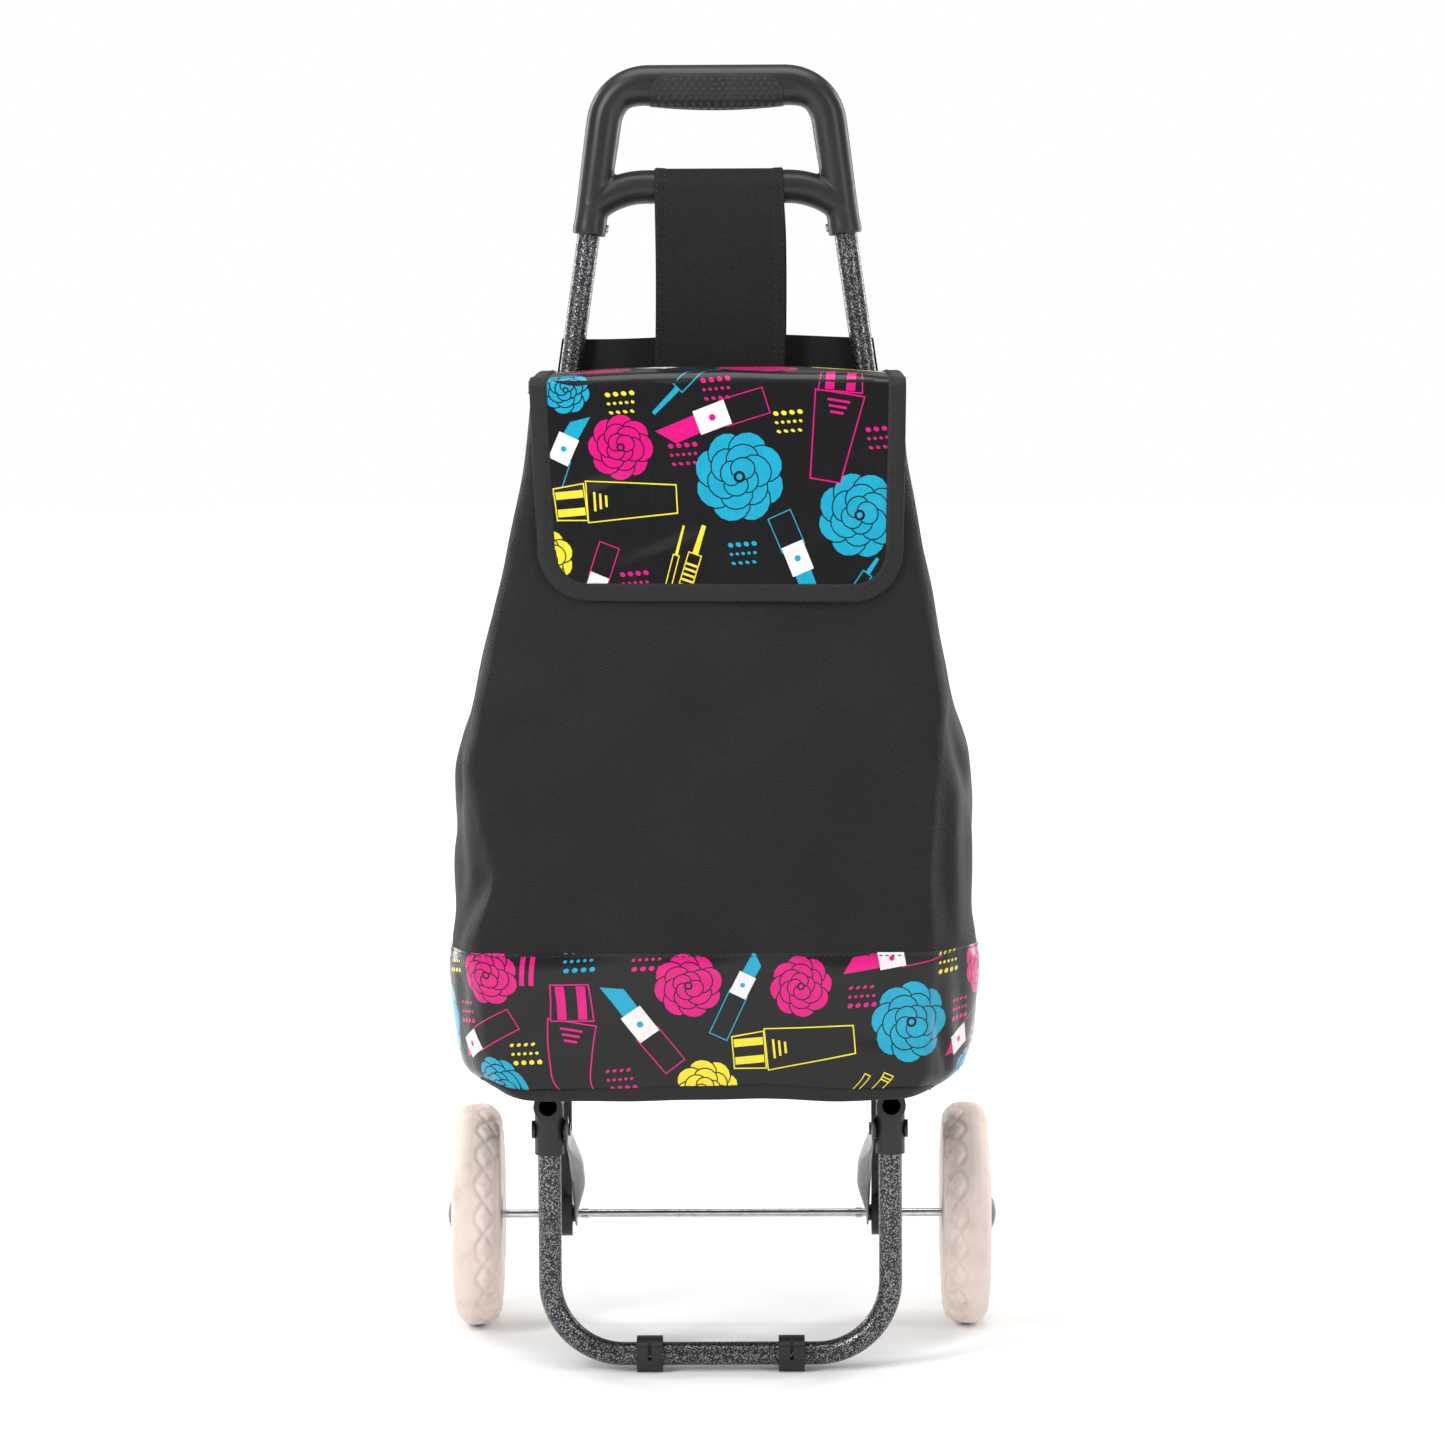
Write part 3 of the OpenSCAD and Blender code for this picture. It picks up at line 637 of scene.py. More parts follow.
def lipstick(tip, middle, end, ink, w=12.0, frame_ink=None):
    """Slanted stick, blank white collar and an outlined case."""
    tip, middle, end = (np.array(p, float) for p in (tip, middle, end))
    ahead = unit(end - tip)
    side = np.array([-ahead[1], ahead[0]]) * 0.42
    stick = np.array([tip - side * w, tip + (ahead * 0.7 + side) * w,
                      middle + side * w, middle - side * w])
    collar = bar(middle - ahead * w * 0.75, middle + ahead * w * 0.75, w * 1.12)
    shapes = framed(middle + ahead * w * 0.5, end, w * 1.25, w * 1.25, frame_ink or ink, 0.7)
    shapes += [(ink, stick), ("white", collar), (ink, oval(*middle, w * 0.16, w * 0.16, n=10))]
    return shapes


def bottle(cap, neck, end, w0, w1, ink):
    """Outlined bottle that widens from w0 to w1, with a striped cap."""
    cap, neck, end = (np.array(p, float) for p in (cap, neck, end))
    ahead = unit(neck - cap)
    shapes = framed(neck, end, w0 * 1.12, w1, ink)
    shapes += framed(cap, neck, w0 * 0.86, w0, ink)
    for off in (-0.22, 0.24):
        shapes.append((ink, bar(cap + ahead * 1.5, neck - ahead * 1.5, w0 * 0.2,
                                w_off=off * w0)))
    step = unit(end - neck)
    for k in range(3):
        shapes.append((ink, bar(neck + step * (5 + 4 * k), neck + step * (6.6 + 4 * k),
                                w0 * (0.5 - 0.1 * k))))
    return shapes


def wand(start, end, w, ink, rings=0):
    """A thin brush or tube, drawn as an outline with a solid tip."""
    start, end = np.array(start, float), np.array(end, float)
    shapes = framed(start, start + (end - start) * 0.62, w, w, ink, 0.8)
    shapes.append((ink, bar(start + (end - start) * 0.62, end, w * 0.42, w * 0.3)))
    for k in range(rings):
        at = start + (end - start) * (0.1 + 0.07 * k)
        shapes.append((ink, bar(at, at + (end - start) * 0.03, w * 0.8)))
    return shapes


def sprigs(x, y, ink, turn=0.0):
    """Three rows of small slanted seeds, a filler that stands for nothing."""
    shapes = []
    c, s = math.cos(turn), math.sin(turn)
    for row, (seeds, long, high) in enumerate(((4, 3.3, 2.0), (5, 2.6, 2.0), (4, 4.0, 3.1))):
        for k in range(seeds):
            px = (k - (seeds - 1) / 2) * (long + 1.5)
            py = 6.0 - 6.2 * row
            shapes.append((ink, oval(x + px * c - py * s, y + px * s + py * c, long / 2,
                                     high / 2, turn + 0.5, 10)))
    return shapes


def refine(poly, pitch):
    """Adds points along a polygon's sides, so that it can bend with the cloth."""
    after = np.roll(poly, -1, axis=0)
    cuts = np.ceil(np.linalg.norm(after - poly, axis=1) / pitch).astype(int).clip(1)
    return np.concatenate([a + (b - a) * (np.arange(n) / n)[:, None]
                           for a, b, n in zip(poly, after, cuts)])


def print_mesh(outline, shapes, pitch, extra=()):
    """Cuts a flat sheet with that outline along its artwork.

    Returns the sheet's flat points, its triangles and each triangle's place in INK_ORDER.
    """
    outline = np.array(outline, float)
    points, faces, inks = [Vector(p) for p in outline], [list(range(len(outline)))], ["ground"]
    low, high = outline.min(0), outline.max(0)
    for ink, poly in shapes:
        if np.all(poly.max(0) > low) and np.all(poly.min(0) < high):
            after = np.roll(poly, -1, axis=0)
            if np.sum(poly[:, 0] * after[:, 1] - poly[:, 1] * after[:, 0]) < 0:
                poly = poly[::-1]
            poly = refine(poly, 3.0)
            faces.append(list(range(len(points), len(points) + len(poly))))
            points.extend(Vector(p) for p in poly)
            inks.append(ink)
    xs = np.arange(low[0] + pitch / 2, high[0], pitch)
    ys = np.arange(low[1] + pitch / 2, high[1], pitch)
    grid = np.stack(np.meshgrid(xs, ys), -1).reshape(-1, 2)
    grid[:, 0] += 0.13 * pitch * (np.round((grid[:, 1] - ys[0]) / pitch) % 2)
    points.extend(Vector(p) for p in grid)
    points.extend(Vector(p) for p in extra)
    flat, _, cut, _, _, owner = delaunay_2d_cdt(points, [], faces, 0, 1e-4)
    keep = [k for k, ids in enumerate(owner) if 0 in ids]
    tones = [INK_ORDER.index(inks[max(owner[k])]) for k in keep]
    return np.array([tuple(p) for p in flat]), [tuple(cut[k]) for k in keep], tones


# ------------------------------------------------------------------ the bag's surface

# heights of the band's seam, of the mouth's rim and of the bag's foot
SEAM, RIM, FLOOR_Z = 296.5, 684.0, 196.5
PRINT_REPEAT = 352.0
# height, outline half width, left crease, right crease
WIDTHS = [(196.5, 147, 136, 136), (198, 154, 140, 141), (200.5, 160, 144, 144),
          (207, 170, 151, 149), (220, 176.5, 156, 151), (235, 179.5, 160, 152),
          (262, 182, 163, 153), (296, 181.5, 167, 154), (320, 179.3, 161, 153),
          (345, 179.8, 155, 153), (370, 180.5, 158, 154), (398, 181, 163, 156),
          (425, 178.5, 168, 157), (438, 174.5, 166.5, 158), (452, 169, 163, 159.5),
          (465, 165.3, 161, 158.5), (492, 159.4, 155.5, 155), (533, 150.4, 147.5, 147),
          (560, 144.2, 141.5, 141.5), (601, 135.5, 133, 133), (635, 130.2, 128, 128),
          (656, 128.1, 126, 126), (684, 127, 125, 125)]
# height, front, back
DEPTHS = [(196.5, -183, -19), (200.5, -189, -15), (207, -192.5, -12.5), (220, -195.5, -10.9),
          (240, -196.3, -10.5), (440, -196.3, -10.5), (562, -184.5, -10.5), (684, -172.5, -10.5)]
# distance round the bag, from the middle of its front, at which the outline's points lie
KNOTS = np.cumsum([0, 77.5, 69, 11.4, 22, 35.2, 71, 39.1, 18.6, 80.5, 80.5])
HALF_ROUND = KNOTS[-1]
patch_lo, patch_hi = node_box("bag_loop_patch")
PATCH_HALF = (patch_hi[0] - patch_lo[0]) / 2
PATCH_LOW, PATCH_HIGH = patch_lo[2], patch_hi[2]


def flat_behind_patch(u, z):
    """1 where the loop patch is sewn on and holds the cloth flat, 0 away from it."""
    beyond = np.maximum(np.maximum(PATCH_LOW - z, z - PATCH_HIGH), 0)
    return (1 - ease(np.abs(u), PATCH_HALF + 5, PATCH_HALF + 32)) * (1 - ease(beyond, 4, 30))


def bag_outline(u, z):
    """Points of the bag's outline at distance u from the middle of its front, at height z."""
    u, z = np.broadcast_arrays(np.asarray(u, float), np.asarray(z, float))
    wide = smooth_table(WIDTHS, z)
    deep = smooth_table(DEPTHS, z)
    w = wide[..., 0]
    crease = np.where(u < 0, wide[..., 1], wide[..., 2])
    front, back = deep[..., 0], deep[..., 1]
    crown = 4.5 * ease(z, 210, 300) * (1 - 0.75 * ease(z, 440, 620))
    crown = crown * (1 - flat_behind_patch(u, z))
    belly = 60 * (w - crease) / (w - crease + 8)
    xs = [0 * w, 0.5 * crease, crease - 9, crease, crease + 0.55 * (w - crease), w, w,
          w - 3, w - 14, 0.5 * (w - 14), 0 * w]
    ys = [front - crown, front - 0.75 * crown, front, front + 7, front + 12 + 0.24 * belly,
          front + 25 + 0.6 * belly, back - 55, back - 16, back - 1, back + 0 * w, back + 0 * w]
    c = np.stack([np.stack(xs, -1), np.stack(ys, -1)], -1)
    slope = np.empty_like(c)
    gaps = (KNOTS[2:] - KNOTS[:-2])[:, None]
    slope[..., 1:-1, :] = (c[..., 2:, :] - c[..., :-2, :]) / gaps
    slope[..., 0, :] = (c[..., 1, :] - c[..., 0, :]) / KNOTS[1] * (1, 0)
    slope[..., -1, :] = (c[..., -1, :] - c[..., -2, :]) / (KNOTS[-1] - KNOTS[-2]) * (1, 0)
    a = np.clip(np.abs(u), 0, HALF_ROUND)
    k = np.clip(np.searchsorted(KNOTS, a) - 1, 0, len(KNOTS) - 2)
    h = KNOTS[k + 1] - KNOTS[k]
    t = ((a - KNOTS[k]) / h)[..., None]
    pick = lambda table, i: np.take_along_axis(table, i[..., None, None], -2)[..., 0, :]
    m, n = pick(slope, k) * h[..., None], pick(slope, k + 1) * h[..., None]
    xy = hermite(pick(c, k), pick(c, k + 1), m, n, t)
    shift = -3.5 * (1 - ease(z, 440, 640))
    x = np.where(u < 0, -1, 1) * xy[..., 0] + shift
    return np.stack([x, xy[..., 1], z], -1)


def groove(u, z, a, b, width, depth):
    """Depth of a soft fold pressed in along the line from a to b, both (u, z)."""
    a, b = np.array(a, float), np.array(b, float)
    d = b - a
    t = np.clip(((u - a[0]) * d[0] + (z - a[1]) * d[1]) / (d @ d), 0, 1)
    far = np.hypot(u - a[0] - t * d[0], z - a[1] - t * d[1])
    along = 0.35 + 0.65 * np.sin(math.pi * (0.1 + 0.8 * t))
    return -depth * hump(far, 0, width) * along


# from, to, width, depth: folds of the plain cloth, then of the stiffer printed band
FOLDS = [((-172, 452), (-120, 418), 13, 2.6), ((168, 452), (118, 425), 12, 2.4),
         ((-176, 432), (-215, 380), 14, 4.0), ((174, 446), (214, 395), 13, 4.5),
         ((-160, 345), (-186, 300), 12, 3.5), ((162, 400), (170, 310), 10, 2.5),
         ((-190, 420), (-196, 310), 16, 3.0), ((192, 420), (200, 310), 16, 3.0),
         ((-245, 600), (-235, 330), 26, 5.0), ((245, 620), (238, 320), 26, 5.0),
         ((-200, 650), (-228, 480), 16, 3.0), ((200, 650), (230, 470), 16, 3.0),
         ((-60, 500), (20, 470), 30, 1.4), ((90, 505), (30, 440), 26, 1.3),
         ((-110, 470), (-60, 380), 30, 1.2), ((120, 380), (60, 330), 30, 1.4),
         ((-30, 350), (40, 318), 26, 1.2), ((-130, 340), (-80, 310), 22, 1.4),
         ((-400, 600), (-380, 420), 30, 2.5), ((400, 560), (420, 380), 30, 2.5)]
BAND_FOLDS = [((-168, 262), (-132, 222), 13, 1.3), ((-112, 240), (-80, 222), 16, 0.8),
              ((152, 258), (172, 214), 6, 2.6), ((128, 236), (166, 218), 9, 1.6),
              ((-172, 292), (-178, 230), 10, 1.6), ((176, 290), (182, 230), 9, 1.8),
              ((-40, 230), (30, 208), 12, 1.0), ((60, 262), (104, 244), 14, 1.0),
              ((-228, 280), (-215, 215), 14, 2.4), ((236, 280), (220, 215), 14, 2.4)]


def crumple(u, z):
    """How far the cloth stands off its plain outline, outward positive."""
    out = 0.7 * np.sin(u / 31 + 1.1) * np.sin(z / 43 + 0.4) + 0.4 * np.sin(u / 13 + z / 29)
    out = out + 0.35 * np.sin(u / 17 - z / 11 + 2)
    for a, b, width, depth in FOLDS + BAND_FOLDS:
        out = out + groove(u, z, a, b, width, depth)
    near_seam = hump(z, SEAM, 7)
    at_back = ease(np.abs(u), 330, 372)
    out = (out - 0.8 * near_seam) * (1 - at_back) + 0.15 * at_back
    held = flat_behind_patch(u, z)
    return out * (1 - held) - 0.4 * held


def within_bag(surface):
    """The surface with its heights held between the bag's foot and its rim."""
    return lambda u, z: surface(u, np.clip(z, FLOOR_Z, RIM))


def bag_surface(u, z, lift=0.0):
    """Points of the creased cloth, lift millimetres outside it."""
    u, z = np.broadcast_arrays(np.asarray(u, float), np.asarray(z, float))
    outward = surface_normals(within_bag(bag_outline), u, z, 1.0)
    return bag_outline(u, z) + outward * (crumple(u, z) + lift)[..., None]


def bag_normals(u, z):
    return surface_normals(within_bag(bag_surface), u, z)


def sew(name, points, faces, normals, depth, uv, body, slot, materials=None, tones=None,
        stands_for=(), shaded=True):
    """A cloth piece: a sheet, an inner layer that far behind it and closed edges.

    tones gives each face's place in materials, whose last one is the lining's.
    """
    points, normals, uv = (np.array(a, float).reshape(-1, np.shape(a)[-1])
                           for a in (points, normals, uv))
    base = len(points)
    seen = {}
    for f in faces:
        for a, b in zip(f, list(f[1:]) + [f[0]]):
            seen[(a, b)] = seen.get((a, b), 0) + 1
    rim = [(b, a, a + base, b + base) for a, b in seen if (b, a) not in seen]
    inner = [tuple(base + i for i in reversed(f)) for f in faces]
    if tones is not None:
        tones = list(tones) + [len(materials) - 1] * (len(inner) + len(rim))
    return build(name, np.concatenate([points, points - normals * depth]),
                 [tuple(f) for f in faces] + inner + rim, body, slot, materials, tones,
                 np.concatenate([uv, uv]),
                 np.concatenate([normals, -normals]) if shaded else None, stands_for)


# ------------------------------------------------------------------ bag pieces

def make_bag_body():
    """The plain cloth from the band's seam up to the rim."""
    us = np.linspace(-HALF_ROUND, HALF_ROUND, 221)[:-1]
    zs = np.concatenate([np.arange(SEAM - 4, 670, 4.5), [672, 678, RIM]])
    u, z = np.meshgrid(us, zs)
    share = (smooth_table(WIDTHS, z)[..., 0] + 93) / (175 + 93)
    sew("bag_body", bag_surface(u, z), grid_faces(len(zs), len(us), wrap=True),
        bag_normals(u, z), 1.3, np.stack([u * share, z], -1), "frame", "oxford_cloth",
        stands_for=["bag_front_panel", "bag_back_panel", "bag_side_left", "bag_side_right"])


def band_artwork():
    """The band's print; heights are above the bag's lowest edge."""
    art = blossom(-144, 85, 21, "pink", 0.3) + blossom(-16, 78, 23, "pink", 1.0)
    art += blossom(60, 77, 22, "pink", 0.1) + blossom(137, 52, 29, "blue", 0.7)
    art += blossom(-5, 4, 23, "gold", 0.2) + blossom(-150, 10, 19, "blue", 0.9)
    art += lipstick((32, 100), (20, 78), (3, 42), "blue", 11)
    art += lipstick((88, 90), (122, 96), (160, 103), "pink", 12)
    art += lipstick((-68, 80), (-48, 51), (-26, 21), "blue", 14, "pink")
    art += lipstick((-184, 30), (-168, 36), (-130, 55), "pink", 13, "pink")
    art += bottle((-92, 79), (-92, 53), (-102, -6), 29, 24, "pink")
    art += bottle((13, 31), (36, 33), (98, 40), 27, 20, "gold")
    art += wand((108, 16), (95, -12), 5, "gold") + wand((123, 16), (112, -10), 8, "gold", 2)
    for x, y, ink in ((-85, 95, "blue"), (-42, 96, "pink"), (167, 92, "gold"), (102, 70, "pink"),
                      (-126, 31, "gold"), (-65, 13, "pink"), (-171, 58, "pink")):
        art += sprigs(x, y, ink, 0.06)
    art += [(ink, bar((x, 98), (x - 3, 78), 3)) for x, ink in ((-113, "pink"), (-119, "pink"))]
    return art


def make_bag_band():
    """The printed band, cut along its artwork and wrapped round the bag's foot."""
    top = SEAM - FLOOR_Z
    around = np.linspace(-HALF_ROUND, HALF_ROUND, 203)
    outline = ([(a, 0) for a in around] + [(HALF_ROUND, b) for b in np.arange(5, top, 5)]
               + [(a, top) for a in around[::-1]]
               + [(-HALF_ROUND, b) for b in np.arange(5, top, 5)[::-1]])
    art = []
    for turn in (-2, -1, 0, 1, 2):
        for ink, poly in band_artwork():
            art.append((ink, poly + (turn * PRINT_REPEAT, 0)))
    flat, faces, tones = print_mesh(outline, art, 4.5)
    u, z = flat[:, 0], flat[:, 1] + FLOOR_Z
    sew("bag_printed_band", bag_surface(u, z, 0.25), faces, bag_normals(u, z), 1.3, flat,
        "frame", "printed_cloth", LINED_PRINT, tones, ["bag_band"])


def make_bag_bottom():
    """The closed underside, drawn in from the band's lower edge."""
    us = np.linspace(-HALF_ROUND, HALF_ROUND, 161)[:-1]
    rim = bag_surface(us, us * 0 + FLOOR_Z)
    middle = rim.mean(0)
    rows = [rim + (0, 0, 0.4)]
    for k, share in enumerate((0.985, 0.95, 0.88, 0.76, 0.6, 0.42, 0.24, 0.08)):
        ring = middle + (rim - middle) * share
        ring[:, 2] = FLOOR_Z + 0.25 * np.sin(us / 19 + k) * (share < 0.9)
        rows.append(ring)
    points = np.concatenate(rows)
    n = len(us)
    faces = [tuple(f) for f in grid_faces(len(rows), n, wrap=True, flip=True)]
    faces.append(tuple(range((len(rows) - 1) * n, len(rows) * n))[::-1])
    down = np.tile((0.0, 0.0, -1.0), (len(points), 1))
    sew("bag_underside", points, faces, down, 1.5, points[:, :2], "frame", "printed_cloth",
        [PRINT["ground"]], stands_for=["bag_bottom"], shaded=False)


def tape_along(name, path, across, out, section, slot, body, stands_for=()):
    """A sewn tape: section is a closed list of (across, out) round the tape at each path point."""
    path, across, out = (np.array(a, float) for a in (path, across, out))
    section = np.array(section, float)
    points = (path[:, None] + across[:, None] * section[None, :, :1]
              + out[:, None] * section[None, :, 1:])
    step = np.concatenate([[0], np.cumsum(np.linalg.norm(np.diff(path, axis=0), axis=1))])
    girth = np.concatenate([[0], np.cumsum(np.linalg.norm(np.diff(section, axis=0), axis=1))])
    uv = np.stack(np.broadcast_arrays(step[:, None], girth[None, :]), -1).reshape(-1, 2)
    closed = np.allclose(path[0], path[-1])
    n = len(section)
    if closed:
        points, uv = points[:-1], uv.reshape(len(path), n, 2)[:-1].reshape(-1, 2)
        rows = len(path) - 1
        faces = [tuple(f) for f in grid_faces(rows, n, wrap=True)]
        faces += [((rows - 1) * n + c, (rows - 1) * n + (c + 1) % n, (c + 1) % n, c)
                  for c in range(n)]
    else:
        rows = len(path)
        faces = [tuple(f) for f in grid_faces(rows, n, wrap=True)]
        faces += end_caps(rows, n)
    return build(name, points.reshape(-1, 3), faces, body, slot, uv=uv, stands_for=stands_for)


FLAT_TAPE = [(0, -0.6), (0, 0.5), (0.7, 0.95), (3.5, 1.05), (6.3, 0.95), (7, 0.5), (7, -0.6),
             (3.5, -0.4)]


def foot_seam(u):
    """The binding climbs a little round the bag's lower corners."""
    return FLOOR_Z + 0.4 + np.where(u < 0, 4, 1) * hump(np.abs(u), 172, 22)


def foot_binding(us):
    """Lower edge, upward and outward directions of the binding, which hangs free at the front."""
    z = foot_seam(us)
    free = 1 - ease(np.abs(us), 140, 172)
    low = bag_surface(us, z) + free[:, None] * (0.0, -2.6, -3.4)
    above = unit(bag_surface(us, z + 10.5) - low)
    out = unit(np.cross(np.gradient(low, axis=0), above))
    low[-1], above[-1], out[-1] = low[0], above[0], out[0]
    return low, above, out


def make_bag_trim():
    """The foot's binding, the mouth's hem and the three rows of stitches round the bag."""
    us = np.linspace(-HALF_ROUND, HALF_ROUND, 261)
    tape_along("bag_foot_binding", *foot_binding(us), [(a * 1.64, b * 1.4) for a, b in FLAT_TAPE],
               "binding_tape", "frame")
    z = np.full_like(us, RIM - 10)
    path = bag_surface(us, z)
    hem = [path, unit(bag_surface(us, z + 2) - path), bag_normals(us, z)]
    for line in hem:
        line[-1] = line[0]
    tape_along("bag_mouth_hem", *hem, [(a * 10 / 7, b * 1.2) for a, b in FLAT_TAPE],
               "oxford_cloth", "frame", ["mouth_hem"])
    us = np.linspace(-HALF_ROUND, HALF_ROUND, 400)
    low, above, out = foot_binding(us)
    stitch("foot_stitches", [(low + 9.4 * above + 1.35 * out, out)], "frame")
    for name, z, lift in (("band_seam_stitches", SEAM - 2.2, 0.3),
                          ("hem_stitches", RIM - 8.4, 1.3)):
        stitch(name, [(bag_surface(us, z, lift), bag_normals(us, z + 0 * us))], "frame")


# ------------------------------------------------------------------ flap

leaf_lo, leaf_hi = node_box("flap_top_panel")
HINGE_Y, FOLD_Y, LEAF_Z = leaf_hi[1], leaf_lo[1] - 2, (leaf_lo[2] + leaf_hi[2]) / 2
FLAP_HALF, FOLD_R, TILT = 127.0, 9.0, math.radians(5.4)
TOP_RUN = HINGE_Y - FOLD_Y - FOLD_R
FOLD_RUN = FOLD_R * (math.pi / 2 - TILT)
FLAP_RUN = TOP_RUN + FOLD_RUN + 144.0
CORNER_R, BINDING = 33.0, 11.5


def flap_surface(a, b, lift=0.0):
    """Points of the flap: a runs across it and b from the hinge over the fold to the lower edge."""
    a, b = np.broadcast_arrays(np.asarray(a, float), np.asarray(b, float))
    turn = np.clip((b - TOP_RUN) / FOLD_R, 0, math.pi / 2 - TILT)
    flat = np.minimum(b, TOP_RUN)
    drop = np.maximum(b - TOP_RUN - FOLD_RUN, 0)
    y = HINGE_Y - flat - FOLD_R * np.sin(turn) - drop * math.sin(TILT)
    z = LEAF_Z - FOLD_R * (1 - np.cos(turn)) - drop * math.cos(TILT)
    side = a / FLAP_HALF
    rise = 5.2 * (1 - side**2) * np.sin(math.pi * np.clip(b / (TOP_RUN + 24), 0, 1)) ** 0.8
    rise = rise - 2.2 * hump(np.abs(side), 1, 0.22) * ease(b, 30, TOP_RUN)
    hang = ease(b, TOP_RUN + 4, TOP_RUN + 60)
    wave = (1.5 * np.sin(a / 34 + 0.6) * ease(b, TOP_RUN + 70, FLAP_RUN)
            + 0.9 * np.sin(a / 21 - b / 37) + 0.5 * np.sin(a / 11 + b / 23))
    fold = (groove(a, b, (-118, TOP_RUN + 96), (-62, TOP_RUN + 78), 9, 2.2)
            + groove(a, b, (-70, TOP_RUN + 138), (-18, TOP_RUN + 118), 8, 1.6)
            + groove(a, b, (60, TOP_RUN + 128), (112, TOP_RUN + 96), 9, 1.8)
            + groove(a, b, (20, TOP_RUN + 60), (70, TOP_RUN + 40), 12, 0.8))
    out = hang * (wave + fold + 3.2)
    y = y - out - lift * np.sin(turn)
    z = z + rise * (1 - ease(turn, 0.2, 1.3)) + 0.35 * wave * (1 - hang) + lift * np.cos(turn)
    x = a + 1.2 + 0.012 * drop * (1 - 0.3 * side) - 0.004 * drop * side * 8
    z = z - 0.006 * a * ease(b, TOP_RUN * 0.6, FLAP_RUN)
    return np.stack([x, y, z], -1)


def flap_normal(a, b):
    step = 0.6
    across = flap_surface(a + step, b) - flap_surface(a - step, b)
    along = (flap_surface(a, np.minimum(b + step, FLAP_RUN))
             - flap_surface(a, np.maximum(b - step, 0)))
    return unit(np.cross(along, across))


def flap_outline(inset=0.0):
    """The flap's edge from the hinge's left end round its corners, as (a, b)."""
    w, end, r = FLAP_HALF - inset, FLAP_RUN - inset, CORNER_R - inset
    left = [(-w, b) for b in np.arange(0, end - r, 4)]
    turn = np.linspace(math.pi, math.pi / 2, 14)
    corner = [(-w + r + r * math.cos(t), end - r + r * math.sin(t)) for t in turn]
    low = [(a, end) for a in np.linspace(-w + r, 0, 26)[1:]]
    half = left + corner + low
    return np.array(half + [(-a, b) for a, b in half[::-1][1:]])


def flap_artwork():
    """Places are (across, below the fold); the top leaf's are above it."""
    art = blossom(-103, 8, 17, "blue", 0.2) + blossom(-67, 47, 23, "pink", 0.8)
    art += blossom(14, 67, 32, "blue", 0.3) + blossom(97, 93, 30, "blue", 1.2)
    art += blossom(27, -40, 30, "pink", 0.5) + blossom(-122, 122, 20, "gold", 0.4)
    art += blossom(-8, 158, 18, "blue", 0.6)
    art += lipstick((-41, 42), (-4, 27), (33, 15), "pink", 15)
    art += lipstick((-92, 24), (-106, 48), (-118, 78), "blue", 13)
    art += lipstick((66, 152), (54, 122), (41, 92), "blue", 14)
    art += lipstick((-92, 150), (-88, 142), (-77, 113), "pink", 12)
    art += bottle((-114, 86), (-92, 84), (-29, 82), 26, 20, "gold")
    art += bottle((85, -14), (83, 10), (73, 70), 31, 22, "pink")
    art += wand((0, -20), (-44, 24), 9, "blue")
    art += wand((-40, 152), (-25, 100), 5, "gold") + wand((-28, 150), (-11, 100), 10, "gold", 6)
    art += wand((92, 148), (110, 122), 8, "blue")
    for x, y, ink in ((-66, 17, "gold"), (-1, 8, "pink"), (-24, 52, "pink"), (48, 30, "gold"),
                      (111, 41, "pink"), (-60, 139, "pink"), (16, 119, "blue")):
        art += sprigs(x, y, ink, -0.08)
    art += lipstick((-60, -60), (-40, -44), (-20, -28), "blue", 14)
    art += bottle((-110, -110), (-90, -100), (-40, -80), 26, 20, "gold")
    art += blossom(90, -80, 28, "gold", 0.3) + blossom(-80, -40, 22, "pink", 0.3)
    art += sprigs(60, -120, "blue", 0.2) + sprigs(20, -100, "gold", 0.2)
    art += sprigs(-30, -130, "pink", -0.2)
    start = TOP_RUN + FOLD_RUN * 0.5
    return [(ink, poly + (0, start)) for ink, poly in art]


def bend_over_fold(piece):
    """Bakes the piece's placement into its mesh; the cloth already follows the top leaf, then the
    hanging one, turning at the front fold, as flap_surface draws it.
    """
    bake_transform(piece)
    return piece


def make_flap():
    """The printed flap with its binding and stitches, all bent over one fold."""
    outline = flap_outline(0.6)
    fold = np.meshgrid(np.arange(-124, 125, 3.0), np.arange(TOP_RUN - 6, TOP_RUN + 21, 1.5))
    fold = np.stack(fold, -1).reshape(-1, 2)
    flat, faces, tones = print_mesh(outline[::-1], flap_artwork(), 4.5, fold)
    a, b = flat[:, 0], flat[:, 1]
    panel = sew("flap_cloth", flap_surface(a, b), [f[::-1] for f in faces], flap_normal(a, b),
                1.0, flat, None, "printed_cloth", LINED_PRINT, tones,
                ["flap_top_panel", "flap_front_panel"])
    edge = flap_outline(0.0)
    inner = flap_outline(BINDING)
    path, normal = flap_surface(*edge.T), flap_normal(*edge.T)
    inward = unit(flap_surface(*(edge + (inner - edge) * 0.5).T) - path)
    pucker = 0.14 * np.sin(np.arange(len(edge)) * 1.9)
    section = [(11.3, 0.2), (11.0, 0.75), (8, 0.95), (4, 1.0), (1.0, 0.95), (-0.5, 0.3),
               (-0.7, -0.6), (-0.3, -1.5), (1.0, -1.9), (5, -2.0), (9, -1.9), (10.4, -1.4),
               (9, -1.2), (2, -0.6), (6, -0.1)]
    tape = tape_along("flap_binding", path + normal * pucker[:, None], inward, normal, section,
                      "binding_tape", None, ["flap_top_binding", "flap_front_binding"])
    seam = flap_outline(BINDING - 2.3).T
    outward = flap_normal(*seam)
    thread = stitch("flap_stitches", [(flap_surface(*seam) + outward, outward)], None)
    for piece in (panel, tape, thread):
        bend_over_fold(piece)


# ------------------------------------------------------------------ hanging strap and sleeve

